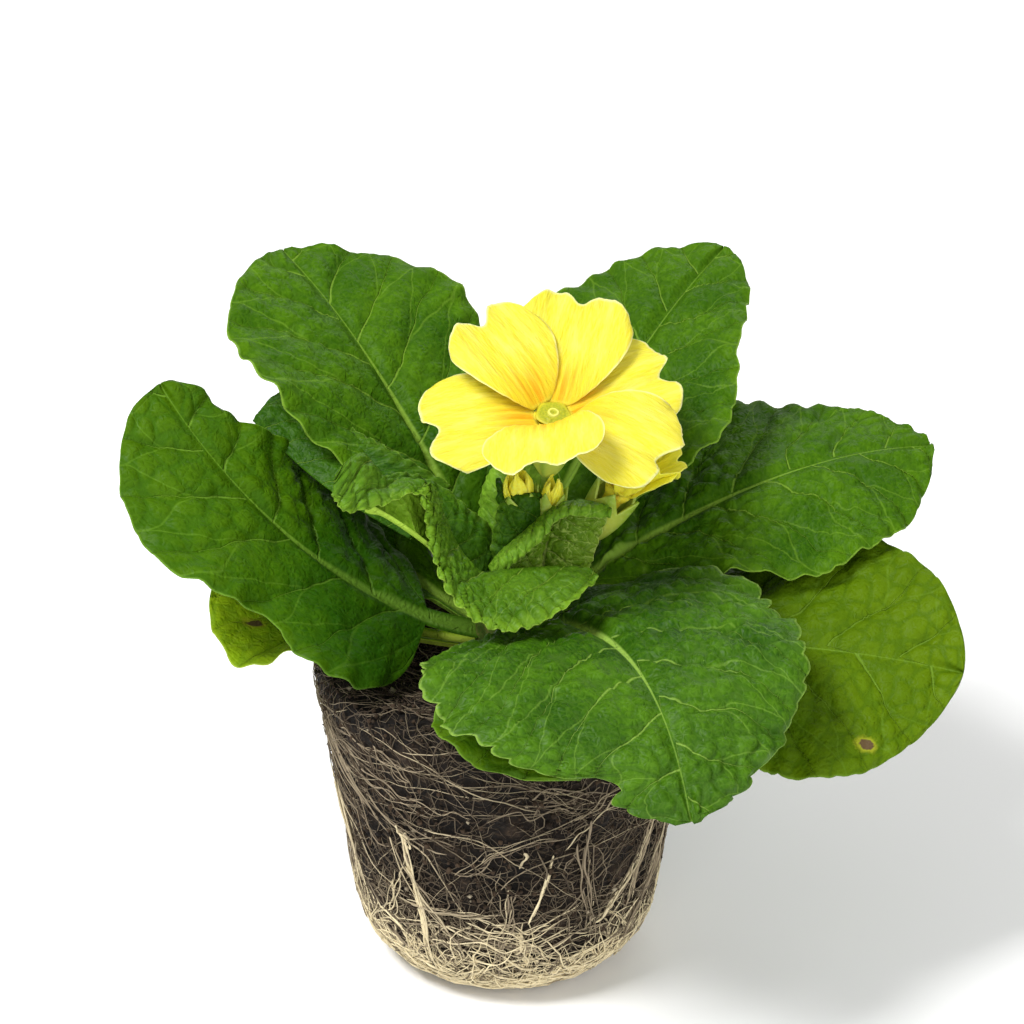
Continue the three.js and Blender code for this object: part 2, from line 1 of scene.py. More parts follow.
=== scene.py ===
"""The looks of a primrose with a bare root ball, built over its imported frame.

Sizes are in millimetres until a mesh is made, and angles in degrees. +Z is up and -Y is the front. The ball,
the flowers and most leaves have the driving values of the frame's solids. The leaves that are folded are set
out anew, as patches.
"""
import json
import math
from functools import cache

import bpy
import numpy as np
from mathutils import Vector
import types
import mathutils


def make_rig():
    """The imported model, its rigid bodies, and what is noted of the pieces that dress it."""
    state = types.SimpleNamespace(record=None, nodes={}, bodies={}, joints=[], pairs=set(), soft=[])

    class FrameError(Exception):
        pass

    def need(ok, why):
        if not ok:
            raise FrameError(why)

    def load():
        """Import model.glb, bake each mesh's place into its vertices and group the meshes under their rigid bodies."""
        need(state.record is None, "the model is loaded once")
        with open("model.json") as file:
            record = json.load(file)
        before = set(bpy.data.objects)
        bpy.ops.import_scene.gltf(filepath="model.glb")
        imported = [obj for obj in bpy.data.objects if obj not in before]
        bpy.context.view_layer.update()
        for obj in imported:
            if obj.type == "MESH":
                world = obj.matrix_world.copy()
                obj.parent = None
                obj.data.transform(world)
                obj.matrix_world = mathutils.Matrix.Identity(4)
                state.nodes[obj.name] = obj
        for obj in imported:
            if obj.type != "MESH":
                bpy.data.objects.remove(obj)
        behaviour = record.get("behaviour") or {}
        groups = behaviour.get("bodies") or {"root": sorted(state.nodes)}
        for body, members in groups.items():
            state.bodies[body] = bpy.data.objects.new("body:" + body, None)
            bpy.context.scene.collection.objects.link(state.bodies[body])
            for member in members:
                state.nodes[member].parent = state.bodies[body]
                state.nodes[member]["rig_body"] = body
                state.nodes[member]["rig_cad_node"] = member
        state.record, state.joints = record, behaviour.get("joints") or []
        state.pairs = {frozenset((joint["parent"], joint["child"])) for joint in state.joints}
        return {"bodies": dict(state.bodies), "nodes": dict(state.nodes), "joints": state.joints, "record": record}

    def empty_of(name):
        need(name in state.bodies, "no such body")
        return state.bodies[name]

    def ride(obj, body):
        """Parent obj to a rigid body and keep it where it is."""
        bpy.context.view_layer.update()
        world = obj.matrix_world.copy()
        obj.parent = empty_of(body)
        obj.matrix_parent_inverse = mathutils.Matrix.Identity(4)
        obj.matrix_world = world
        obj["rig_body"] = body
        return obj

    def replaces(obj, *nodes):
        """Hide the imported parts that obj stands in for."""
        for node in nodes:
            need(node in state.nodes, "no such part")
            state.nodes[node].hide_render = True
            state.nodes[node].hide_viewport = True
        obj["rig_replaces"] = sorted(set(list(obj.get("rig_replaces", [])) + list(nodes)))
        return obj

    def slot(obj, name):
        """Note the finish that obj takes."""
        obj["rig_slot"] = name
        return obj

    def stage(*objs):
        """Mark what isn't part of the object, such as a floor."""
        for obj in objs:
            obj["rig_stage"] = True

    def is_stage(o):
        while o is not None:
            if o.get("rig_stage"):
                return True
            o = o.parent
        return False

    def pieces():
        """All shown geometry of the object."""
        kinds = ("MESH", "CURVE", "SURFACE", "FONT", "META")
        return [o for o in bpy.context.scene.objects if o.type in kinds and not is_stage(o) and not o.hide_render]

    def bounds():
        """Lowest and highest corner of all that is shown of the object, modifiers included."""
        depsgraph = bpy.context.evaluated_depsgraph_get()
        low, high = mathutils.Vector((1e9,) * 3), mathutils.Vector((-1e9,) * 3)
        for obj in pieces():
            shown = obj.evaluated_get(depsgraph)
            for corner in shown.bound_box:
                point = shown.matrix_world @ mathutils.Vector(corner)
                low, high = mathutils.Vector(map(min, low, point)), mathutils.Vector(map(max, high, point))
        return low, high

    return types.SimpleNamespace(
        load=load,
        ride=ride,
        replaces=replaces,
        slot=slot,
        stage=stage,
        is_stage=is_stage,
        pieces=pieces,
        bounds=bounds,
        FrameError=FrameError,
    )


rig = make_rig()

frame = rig.load()
cad_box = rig.bounds()

MM = 0.001

# ---------- driving dimensions ----------
# grid is how finely a mesh is divided: (rows, columns) of a sheet, (rows, sides) of the ball, and
# (sides, rows) of the other turned forms.
GAP = 0.3            # between a piece and what carries it
POLE = 0.05          # the radius at which turned forms close on their axis
FLAT = "Flat"        # the field of flat coordinates
FLAT_UNIT = 100.0    # the millimetres in one unit of them
BALL = {"height": 76, "top": 43, "foot": 31.5, "edge": 14, "rim": 4, "dip": 4, "grid": (138, 224)}
CROWN = {"radius": 7, "foot": 62, "foot_bevel": 6, "shoulder": 84, "top": 90, "grid": (84, 60)}
ROOTS = {
    "seed": 7, "thin": 0.7, "thick": 1.1, "steps": 28,
    "falling": 11, "fall_from": (34, 58), "fall_to": 4.4, "drift": 0.5, "bow": 0.12,
    "girdling": 6, "girdle_height": 61, "girdle_spread": 5, "girdle_span": (0.7, 1.3),
    "girdle_fall": (-6, 3), "ripple": 1.2,
}

# Pale roots on the ball's front: points as (x, height), then how many strands, how far they spread, how
# thick they are and how pale.
FRONT_ROOTS = [
    ([(-23, 47), (-21.7, 40), (-18.7, 24.5), (-17, 12), (-15, 5)], 9, 0.55, (0.4, 0.8), (0.8, 1)),
    ([(-24, 48), (-22, 45), (-21, 41)], 4, 0.5, (0.5, 0.9), (0.7, 0.95)),
    ([(3.5, 47), (4.6, 45), (3.2, 42.5), (2.6, 39.5)], 2, 0.15, (0.5, 0.7), (0.75, 0.9)),
    ([(10.9, 46), (9.4, 39), (6.5, 29.5), (4, 23)], 3, 0.2, (0.5, 0.8), (0.8, 1)),
    ([(-40.4, 64), (-36, 57), (-31, 51), (-26, 44), (-23, 41)], 7, 0.8, (0.25, 0.5), (0.35, 0.7)),
    ([(-39, 52), (-36, 40), (-34, 33), (-31, 18), (-28, 9)], 8, 1.1, (0.25, 0.55), (0.5, 0.85)),
    ([(32.6, 49), (31, 40), (29, 33), (26.5, 23), (22, 12)], 8, 1.1, (0.25, 0.5), (0.45, 0.8)),
    ([(37, 56), (37, 46), (34, 34), (30, 20)], 7, 1.2, (0.25, 0.5), (0.4, 0.75)),
    ([(-25, 27), (-16, 26.7), (-6, 27.5), (0.4, 28.5)], 7, 0.5, (0.3, 0.55), (0.6, 0.9)),
    ([(3.3, 25), (3.3, 22), (4.5, 16), (5, 8)], 9, 0.9, (0.3, 0.65), (0.75, 1)),
    ([(-9, 25), (0, 23), (3.3, 21), (9, 23), (19, 29)], 7, 1.2, (0.25, 0.5), (0.5, 0.9)),
    ([(-7, 12), (1, 19), (3.3, 21), (7, 16), (12, 9)], 5, 1.3, (0.25, 0.5), (0.6, 0.95)),
    ([(-20, 14), (-10, 19), (2, 17), (14, 20), (24, 17)], 7, 2.0, (0.25, 0.5), (0.5, 0.9)),
    ([(-28, 20), (-14, 24), (0, 19), (10, 14), (22, 12)], 6, 2.0, (0.25, 0.5), (0.45, 0.85)),
    ([(-37, 63), (-28, 59), (-16, 57), (-4, 57)], 5, 1.8, (0.2, 0.4), (0.35, 0.65)),
    ([(-30, 68), (-24, 62), (-17, 57)], 4, 1.4, (0.2, 0.4), (0.3, 0.6)),
    ([(12, 50), (20, 56), (29, 62), (36, 67)], 5, 1.4, (0.25, 0.45), (0.45, 0.8)),
    ([(16, 20), (22, 24), (28, 33), (32, 42)], 7, 1.4, (0.3, 0.6), (0.7, 1)),
    ([(-30, 12), (-25, 22), (-24, 33), (-23, 42)], 5, 1.3, (0.3, 0.55), (0.65, 0.95)),
    ([(-12, 36), (-4, 46), (6, 50), (15, 50)], 4, 0.8, (0.2, 0.4), (0.4, 0.7)),
]

# Scattered roots, by piece: how many, their steps and the length of a step, the lowest and highest height at
# which they start, the share that starts level, the spread of the first directions, how much they bend at
# each step, how far they stand off the ball, how thick they are and how pale.
SCATTERED_ROOTS = {
    "roots_net": [
        (520, 15, 2.0, (12, 80), 0.5, 0.6, 0.26, (0.1, 0.8), (0.14, 0.45), (0.05, 0.48)),
        (340, 11, 1.9, (14, 74), 0.5, 0.6, 0.45, (0.1, 0.9), (0.14, 0.38), (0.08, 0.52)),
        (80, 19, 2.5, (44, 74), 1.0, 0.2, 0.09, (0.2, 0.9), (0.2, 0.42), (0.35, 0.75)),
        (120, 11, 2.2, (68, 80), 0.5, 1.0, 0.25, (0.1, 0.8), (0.14, 0.42), (0.12, 0.5))],
    "roots_fibres": [
        (1500, 7, 1.4, (14, 80), 0.5, 1.2, 0.45, (0.05, 0.7), (0.14, 0.5), (0.0, 0.2)),
        (520, 9, 1.6, (16, 80), 0.5, 0.9, 0.5, (0.1, 0.7), (0.12, 0.3), (0.1, 0.42))],
    "roots_mat": [
        (1400, 9, 2.4, (1, 13), 0.65, 0.5, 0.24, (0.1, 1.0), (0.3, 0.8), (0.85, 1)),
        (400, 11, 2.1, (8, 30), 0.55, 0.5, 0.2, (0.15, 0.9), (0.2, 0.45), (0.2, 0.72))],
}
ROOT_END = 0.02      # a root's radius at its ends, and how far roots stay above the floor

# Leaves. Values in threes are read at the base, the middle and the tip. stalk is the stalk's share of the
# length, left and right are each half's share of the width, clefts are (side, where, span, depth), spot is
# (along, across, radius), and the painted shade, darkest at the base, is (where it ends, where it starts,
# how much). cell is the size of the swellings between the veins and dome their height.
BLADE = {
    "start": 4.5, "stalk": 0.16, "stalk_half": 2.4, "roll": (0, 0, 0),
    "fold_left": (12, 6, 0), "fold_right": (12, 6, 0), "curl_left": (0, 0, 0), "curl_right": (0, 0, 0),
    "left": 1, "right": 1, "widest": 1.36, "blunt": 0.62, "wave": 2, "waves": 3,
    "wave_shift": 0.35, "opened_by": 0.08, "tip_half": 1.2, "tip_crowding": 1.25,
    "rib": 1.3, "spacing": 12.5, "look": "leaf", "grid": (122, 70), "clefts": (),
    "teeth": 0.5, "lobe": 0.6, "dome": 0.45, "cell": 4.6, "seed": 1, "spot": None, "painted_shade": None,
    "wrinkle": 0.3, "rougher": 0, "crinkle": 0, "crinkle_length": 3, "slot": "leaf", "has_node": True,
    "thick": 0.5, "rib_width": 1.1, "least_half": 0.05,
}
TOOTH = {"pitch": 3.8, "for_width": 60, "folded_pitch": 3.4}
# How high or deep each part of the relief is, and how long or wide, for the usual spacing of side veins.
RELIEF = {"panel": 0.8, "pucker": 0.16, "pucker_size": 1.9, "swell": 0.5, "swell_size": 12,
          "wrinkle_size": 2.3, "vein": 0.6, "fork": 0.3, "ripple": 0.6, "ripple_length": 6.5}
LEAVES = {
    # Painted shade darkens leaf_back_left towards its base, behind the curled leaf.
    "leaf_back_left": {
        "heading": (131, 130, 127), "height": 82, "length": 100, "width": 60, "pitch": (60, 40, 14),
        "roll": (8, 6, 4), "fold_right": (28, 14, 2), "left": 1.02, "right": 0.95,
        "teeth": 0.2, "spacing": 14, "dome": 0.7, "cell": 5.2, "painted_shade": (0.42, 0.18, 0.95)},
    # Painted shade darkens leaf_left towards its base.
    "leaf_left": {
        "heading": (192, 176, 136), "height": 80, "length": 94, "width": 62, "pitch": (16, 42, 44),
        "roll": (-30, -24, -20), "fold_left": (-12, 4, -8), "fold_right": (-10, -12, -6), "right": 0.76,
        "widest": 0.78, "blunt": 0.52, "clefts": ((1, 0.5, 0.13, 0.34), (-1, 0.86, 0.16, 0.42)),
        "look": "leaf_left", "teeth": 0.25, "spacing": 14, "dome": 0.8, "cell": 5.2, "seed": 2,
        "painted_shade": (0.62, 0.34, 0.9)},
    "leaf_right": {
        "heading": (20, 20, 20), "height": 81, "length": 103, "width": 56, "pitch": (31, 17, -10),
        "fold_left": (10, 5, 0), "fold_right": (-8, -18, -28), "right": 0.94,
        "teeth": 0.35, "dome": 1.1, "seed": 6},
    "leaf_back_right": {
        "heading": (55, 55, 55), "height": 83, "length": 103, "width": 50, "pitch": (56, 34, 12),
        "left": 1.08, "right": 0.84, "widest": 1.05, "teeth": 0.3, "dome": 0.8, "seed": 7,
        "clefts": ((-1, 0.42, 0.2, -0.55),)},
    "leaf_front": {
        "heading": (-45, -66, -74), "height": 80.75, "length": 87, "width": 78, "pitch": (33, -1, -58),
        "fold_left": (14, 8, 0), "fold_right": (10, 6, 0), "curl_left": (0, -10, -20),
        "curl_right": (0, -10, -20), "left": 0.94, "right": 1.14, "widest": 0.85, "stalk": 0.1,
        "clefts": ((-1, 0.88, 0.045, 0.5),), "teeth": 1, "lobe": 1.2, "dome": 1.5, "cell": 4.4, "seed": 3,
        "wrinkle": 0.55, "look": "leaf_front"},
    "leaf_right_low": {
        "heading": (-12, -12, -14), "height": 77.2, "length": 97, "width": 60, "pitch": (9, 3, -8),
        "roll": (0, 24, 42), "fold_left": (-8, -6, -2), "fold_right": (0, 0, -5), "look": "leaf_yellow",
        "teeth": 0.3, "spacing": 15, "dome": 0.8, "seed": 8, "spot": (79, -21, 2.1),
        "slot": "leaf_low"},
    "leaf_front_low": {
        "heading": (-76, -72, -68), "height": 76, "length": 50, "width": 50, "pitch": (14, -2, -34),
        "look": "leaf_low", "grid": (76, 52), "slot": "leaf_low"},
    # Painted light: its look is a lighter copy, for a leaf that lies in leaf_left's shadow.
    "leaf_left_low": {
        "heading": (174, 172, 166), "height": 76, "length": 62, "width": 44, "pitch": (4, 10, 16),
        "roll": (0, -6, -10), "stalk": 0.42, "look": "leaf_painted_light", "grid": (84, 48),
        "spot": (50, 10, 2.2), "slot": "leaf_low"},
    "leaf_rear_left": {
        "heading": (152, 146, 138), "height": 79, "length": 84, "width": 50, "pitch": (22, 11, 0),
        "grid": (92, 52)},
    "leaf_rear": {
        "heading": (97, 97, 97), "height": 80, "length": 84, "width": 50, "pitch": (42, 18, -12),
        "grid": (92, 52)},
    "leaf_rear_right": {
        "heading": (48, 44, 40), "height": 76, "length": 86, "width": 52, "pitch": (8, 2, -20),
        "grid": (92, 52), "look": "leaf_low"},
    "young_leaf_rear": {
        "heading": (82, 82, 82), "height": 86, "length": 32, "width": 17, "pitch": (68, 72, 60),
        "start": 4.2, "stalk": 0.1, "stalk_half": 1.3, "widest": 1.1, "fold_left": (40, 40, 30),
        "fold_right": (40, 40, 30), "curl_left": (-40, -110, -90), "curl_right": (-40, -110, -90),
        "wave": 0.8, "waves": 4, "rib": 0.8, "spacing": 3.4, "lobe": 0.5, "look": "leaf_young",
        "grid": (68, 48), "slot": "leaf_young"},
}
# Folded leaves, as patches between curves: millimetres to the right, up and towards the viewer. Each row of
# a patch runs from its inner to its outer edge. from_rib is how far its inner edge is from the midrib, ageing
# is how old its far end looks, and has_node says whether the piece stands for a solid of the frame.
FOLDED_LEAVES = {
    "leaf_curled": {
        "look": "leaf_curled", "spacing": 8, "teeth": 0.6, "dome": 0.75, "cell": 3, "seed": 5, "rougher": 2.2,
        "rib": 0.9, "crinkle": 0.3, "patches": [
            {"from_rib": 7, "ageing": 0.6, "grid": (124, 38), "points": [
                [(17, -12.4, 16), (18, -13.2, 18), (18.7, -14, 19)],
                [(11.3, -11.7, 14), (12.7, -15.3, 20), (13.5, -18.8, 23)],
                [(4.9, -11.9, 13), (6.4, -17.8, 21), (7.6, -23, 25)],
                [(-1.5, -12.4, 13), (-0.7, -19.1, 21.5), (0, -25.3, 26)],
                [(-6.4, -12.8, 14), (-6.6, -18.8, 22), (-6.1, -24.2, 26)],
                [(-9, -10.7, 14.5), (-10.2, -16.1, 22), (-11.1, -20.2, 26)],
                [(-11.5, -7.3, 15), (-12.9, -12, 22), (-14.3, -16, 25.5)],
                [(-13.6, -3, 16.5), (-15.2, -7, 23), (-16.6, -10.1, 25.5)],
                [(-15.1, 0.9, 18), (-16.7, -2.1, 24), (-17.9, -5, 26)],
                [(-16.3, 4, 21), (-17.5, 2.3, 25.5), (-18.5, 0.2, 27.5)],
                [(-18.1, 6.3, 25), (-18.7, 5.5, 27), (-19.3, 4.6, 28)]]},
            {"from_rib": 7, "ageing": 0.3, "grid": (62, 38), "points": [
                [(-18.1, 6.4, 25), (-18.2, 5.5, 26.5), (-17.8, 4.4, 28)],
                [(-22.6, 6.8, 24), (-22.9, 4.8, 28.5), (-23, 2.9, 31)],
                [(-26.9, 7.2, 26), (-26.7, 3.8, 31.5), (-26.5, 1.2, 33.5)],
                [(-31.1, 12.3, 31), (-31.4, 6.2, 35), (-30.9, 0.2, 36)],
                [(-34.5, 10.6, 35), (-34.6, 5.4, 37.5), (-34.4, -0.2, 38)],
                [(-36.7, 7.7, 37.5), (-37.1, 5.2, 38.5), (-37, 2.7, 39)]]},
            {"from_rib": 0, "ageing": 0.1, "grid": (50, 24), "leaf": {"dome": 0.3}, "points": [
                [(-1.3, -19.5, -9), (-0.3, -18, -7), (0.6, -16.5, -5)],
                [(-1.8, -18.8, -2), (3.5, -16, 2), (9, -13.4, 8)],
                [(-2.5, -17.8, 5), (1.2, -15.2, 8), (4.9, -13.2, 12)],
                [(-6, -16, 10), (-5, -14.6, 11), (-3.5, -13.6, 12)],
                [(-11.6, -13, 14), (-10.8, -11.6, 13.6), (-10.4, -11, 13.6)],
                [(-15.2, -9.8, 20), (-14.4, -6.5, 16.5), (-14.2, -4, 16)]]}]},
    # Its look is a lighter copy: painted light on a sheet that lies in the curled leaf's shade.
    "leaf_curled_hollow": {
        "look": "leaf_hollow", "spacing": 7.5, "teeth": 0.3, "dome": 0.4, "cell": 3.3, "seed": 6, "rib": 0.9,
        "has_node": False, "patches": [
            {"from_rib": 0, "ageing": 0.3, "grid": (70, 40), "points": [
                [(-15.2, -10.1, 19), (-15.2, -3.8, 15), (-15.2, 2.3, 15)],
                [(-18.5, -7.2, 24), (-17.9, -0.6, 21), (-17.2, 4.8, 21)],
                [(-22.4, -4.2, 28.5), (-21.8, 0.9, 25), (-20.9, 5.6, 25)],
                [(-26.5, -1.5, 31), (-26.1, 1.9, 28), (-25.3, 4.8, 27)],
                [(-30.4, 0.6, 34), (-30.1, 1.3, 32), (-29.3, 2.1, 31)]]}]},
    "young_leaf_front": {
        "look": "leaf_young", "spacing": 3.6, "teeth": 0.3, "dome": 0.45, "cell": 1.9, "seed": 9, "rib": 0.6,
        "crinkle": 0.35, "crinkle_length": 2.4, "patches": [
            {"from_rib": 5, "ageing": 0.3, "grid": (150, 24), "points": [
                [(21.1, 1.1, 5), (21.3, 0, 8), (21.1, -1.3, 8)],
                [(17, 2.2, 5), (17.2, 0.6, 9.5), (17, -1.3, 9.5)],
                [(12.6, 2.2, 6), (12.6, 0.6, 10.5), (12.4, -0.9, 10.5)],
                [(8.9, 0.9, 7), (9.3, -0.4, 11), (9.6, -2, 11)],
                [(5, -2.2, 8), (6.3, -3.7, 11.5), (7.2, -5.2, 11)],
                [(0.7, -5.9, 8), (2.2, -7.4, 11.5), (3.5, -8.7, 11)],
                [(-2.8, -8.9, 8), (-1.5, -10.4, 11), (-0.2, -11.7, 10.5)],
                [(-5, -11.7, 7), (-3.9, -12.8, 9), (-2.8, -13.7, 9)]]}]},
    "young_leaf_front_back": {
        "look": "leaf_panel", "spacing": 4.2, "teeth": 0.3, "dome": 0.5, "cell": 2.3, "seed": 10, "rib": 0.7,
        "has_node": False, "patches": [
            {"from_rib": 0, "ageing": 0.1, "grid": (64, 50), "points": [
                [(8.9, 0, 6), (14.8, 0, 8), (21, -0.4, 6)],
                [(7.6, -5, 4), (13.3, -4.8, 6), (19.3, -4.6, 4)],
                [(6.7, -9.3, 3), (12.2, -9.6, 5), (17.8, -9.3, 3)],
                [(6.5, -15, 1), (11.5, -15.5, 2.5), (16, -15, 1)]]},
            {"from_rib": 4, "ageing": 0.1, "grid": (44, 36), "points": [
                [(7.2, -4.3, 8), (7.8, -3.9, 7), (8.3, -3.5, 5)],
                [(3.5, -7.8, 7), (5.7, -7.4, 6), (7.2, -6.7, 3.6)],
                [(-0.9, -10.9, 5), (3.3, -10.7, 5), (6.7, -10, 3)],
                [(-3.7, -15, 2), (1.7, -15.3, 3), (6.5, -15, 1)]]}]},
    "young_leaf_left": {
        "look": "leaf_inner", "spacing": 4.5, "teeth": 0.5, "dome": 0.6, "cell": 2.2, "seed": 11, "rib": 0,
        "crinkle": 0.4, "crinkle_length": 2.6, "patches": [
            {"from_rib": 4, "ageing": 0.3, "grid": (60, 48), "points": [
                [(0, -14, 1), (-2, -14, 2), (-4.6, -14, 1)],
                [(3.9, -6.1, 4), (0, -6.5, 6.5), (-4.6, -6.7, 5)],
                [(6.7, -1.3, 5), (1.7, -1.7, 8), (-3.7, -2, 6)],
                [(7.4, 2.6, 6), (2.8, 2.6, 8.5), (-2.6, 2, 7)],
                [(6.7, 3.9, 6), (3, 3.9, 8), (-1.1, 3.3, 7)]]},
            {"from_rib": 4, "ageing": 0.3, "grid": (40, 12), "leaf": {"dome": 0.1}, "points": [
                [(-0.9, 0, 6), (-1.8, 0, 7), (-2.8, 0, 6)],
                [(-1.5, 3.7, 5), (-2.4, 3.8, 6), (-3.3, 3.9, 5)],
                [(-2.8, 7.2, 4), (-3.1, 7.3, 4.3), (-3.5, 7.2, 4)]]}]},
    "young_leaf_side": {
        "look": "leaf_inner", "spacing": 6, "teeth": 0.6, "dome": 0.6, "cell": 3, "seed": 12, "rib": 0.4,
        "crinkle": 0.4, "crinkle_length": 4, "patches": [
            {"from_rib": 3, "ageing": 0.3, "grid": (72, 38), "points": [
                [(-29.8, 2.6, 16), (-29.4, 4.7, 17), (-28.6, 7.2, 16)],
                [(-24, 0.4, 12), (-23.1, 4.3, 14), (-22.9, 8.6, 12)],
                [(-17.6, -3.9, 9), (-16.3, 0.9, 11.5), (-15.5, 6, 9)],
                [(-12.3, -8.2, 6), (-10.8, -3.5, 9), (-9.5, 1.1, 7)],
                [(-8, -12.8, 3), (-6.5, -8.1, 5), (-4.5, -3.2, 4)],
                [(-5.9, -17, 0), (-4.8, -14.5, 1), (-3.7, -12, 1)]]},
            {"from_rib": 3, "ageing": 0.3, "grid": (56, 34), "points": [
                [(-57, 20, -9), (-53, 25, -10), (-48, 28, -11)],
                [(-44, 8, -3), (-39, 13, -5), (-34, 18, -7)],
                [(-34, 1, 1), (-29, 7, -1), (-25, 13, -3)],
                [(-22, -6, 1), (-17, 0, -1), (-13, 6, -3)]]}]},
}

PETAL = {
    "length": 25, "claw": 2.3, "half": 13.5, "widens": 0.8, "tip_taper": 0.12, "notch": 0.13,
    "notch_width": 0.2, "shoulder": 0.26, "pitch": (30, 16, 10), "roll": 0, "fold": (10, 6, 0),
    "curl": (0, 10, 0), "clear": 0.2, "claw_lift": 0.4, "lifted_by": 1 / 3, "grid": (42, 43),
    "ruffle": 0.75, "crumple": 0.35, "groove": 0.55, "side_groove": 0.2, "streak": 0.10, "thick": 0.42,
    "rim_thinner": 0.26,
}
OPEN_FLOWER = {
    "centre": (10, -5, 134.4), "lean": 19, "turn": 4, "throat": 3.5, "tube_length": 15, "tube_radius": 1.6,
    "young": 0,
    "petals": [
        {"heading": 133, "lift": 1.4, "pitch": (26, 20, 14), "half": 12.5},
        {"heading": 79, "lift": 0.7, "pitch": (26, 20, 16), "length": 27},
        {"heading": 24, "lift": 0, "pitch": (20, 12, 4)},
        {"heading": -32, "lift": 1.5, "pitch": (18, 4, -10), "half": 14.5},
        {"heading": -94, "lift": 2.7, "pitch": (24, 20, 14), "half": 14, "roll": 20, "curl": (0, 4, 8)},
        {"heading": 196, "lift": 0, "pitch": (14, 0, -10), "half": 14.5},
    ],
}
HALF_FLOWER = {
    "centre": (24.5, 0, 114.5), "lean": 5, "turn": 30, "throat": 2.4, "tube_length": 13, "tube_radius": 1.5,
    # Painted light: these petals are brightened, as they lie in the open flower's shadow.
    "young": 1,
    "petals": [
        {"heading": 72 * i + 10, "lift": 0.4 * (i % 2), "length": 15, "half": 7, "pitch": (78, 68, 50),
         "grid": (26, 27)}
        for i in range(5)
    ],
}
THROAT = {"wall": 0.4, "cup_depth": 1.6, "rim_out": 0.9, "rim_up": 0.7, "flare_below": 6, "flare": 1.3,
          "grid": (72, 64)}
EYE = {"radius": 3.75, "top": 1.35, "knob": 1.2, "knob_rise": 0.55, "grid": (56, 64)}
CALYX = {
    "length": 15.8, "below_tube": 1.6, "foot": 1.9, "mouth": 4.9, "bulge": 0.9, "tooth": 4.5, "wall": 0.6,
    "rib": 0.35, "lobes": 5, "hollow_to": 0.45, "sides": 80, "rings": (26, 14),
}
STALK = {"radius": 1.3, "foot_spread": 2.6, "foot_height": 86, "foot_rise": 8, "neck_below": 6, "sunk": 0.4,
         "first_foot": 150, "foot_step": 95, "steps": 40, "sides": 16}
BUD = {"outline": ((0, 0.45), (0.15, 0.6), (0.4, 0.92), (0.65, 1), (0.85, 0.8), (1, 0.42)),
       "fold_depth": 0.16, "twist": 1.2, "tooth": 2.6, "stalk_radius": 0.9, "sunk": 2.6,
       "first_foot": -110, "grid": (32, 18), "half_thick": 0.16, "foot": -3.4, "wall": 0.45, "rib": 0.25,
       "sides": 75, "rings": 22, "stalk_steps": 24, "stalk_sides": 12}
BUDS = [
    {"centre": (3.4, -3, 109), "turn": -6, "lean": 0, "radius": 2.9, "length": 11, "petals": 6,
     "open": 0.9},
    {"centre": (9.2, -3.1, 109.4), "turn": 8, "lean": 3, "radius": 2.3, "length": 9.2, "petals": 5,
     "open": 0.2},
]

# Side veins leave the midrib at their spacing, lean forward (slope) and bow towards the tip (bow). Their
# depth and width go with their spacing, and are given for the usual one.
VEINS = {"slope": 0.62, "bow": 0.006, "fork_from": 0.3, "fork_to": 0.95, "usual": 12}

# The camera's lens and sensor are in millimetres, and how far it sees in metres, as Blender takes it.
VIEW = {"target": (1.3, 0, 109), "pitch": 28, "distance": 800, "lens": 129.4, "sensor": 36, "sees": 20}

# Lights: where, how large, and how many watts.
SOFTBOXES = {
    "key": ((-620, -420, 1280), (480, 480), 24),
    "fill": ((900, -900, 700), (1000, 1000), 7),
    "front": ((-150, -1400, 450), (900, 700), 5),
    "back": ((300, 1100, 900), (900, 600), 5),
}
STUDIO = {"floor": 8000, "lit": (0, 0, 90), "ambient": 0.44}


# ---------- small tools ----------
def rad(angle):
    return math.radians(angle)


def smooth(value, low, high):
    """0 below low, 1 above high, and an S between them."""
    x = np.clip((value - low) / (high - low), 0, 1)
    return x * x * (3 - 2 * x)


def through(values, u):
    """The smooth curve through three values, read at u = 0, 1/2 and 1."""
    base, middle, tip = values
    return base * (1 - u) * (1 - 2 * u) + 4 * middle * u * (1 - u) + tip * u * (2 * u - 1)


def between(pair, share):
    return pair[0] + (pair[1] - pair[0]) * share


def bell(value, width):
    """1 where the value is 0, falling to nothing beyond the width on both sides."""
    return np.exp(-(value / width) ** 2)


def unit(vectors):
    return vectors / np.maximum(np.linalg.norm(vectors, axis=-1, keepdims=True), 1e-9)


def xyz(x, y, z):
    """Points from their coordinates, each an array or one number for all."""
    return np.stack(np.broadcast_arrays(x, y, z), axis=-1)


def polar(radius, angle, z):
    return xyz(radius * np.cos(angle), radius * np.sin(angle), z)


def full_turn(count):
    """Even angles all the way round."""
    return np.linspace(0, 2 * np.pi, count, endpoint=False)


def hashed(cells, seed):
    """A fixed random number in -1..1 for each whole-number cell."""
    keys = cells.astype(np.uint64)
    mixed = keys[..., 0] * np.uint64(0x9E3779B97F4A7C15) + keys[..., 1] * np.uint64(0xC2B2AE3D27D4EB4F)
    mixed = mixed + keys[..., 2] * np.uint64(0x165667B19E3779F9) + np.uint64(seed * 7919 + 1)
    mixed = (mixed ^ (mixed >> np.uint64(29))) * np.uint64(0xBF58476D1CE4E5B9)
    mixed = (mixed ^ (mixed >> np.uint64(32))) * np.uint64(0x94D049BB133111EB)
    mixed = mixed ^ (mixed >> np.uint64(31))
    return (mixed >> np.uint64(11)).astype(float) / 2 ** 52 - 1


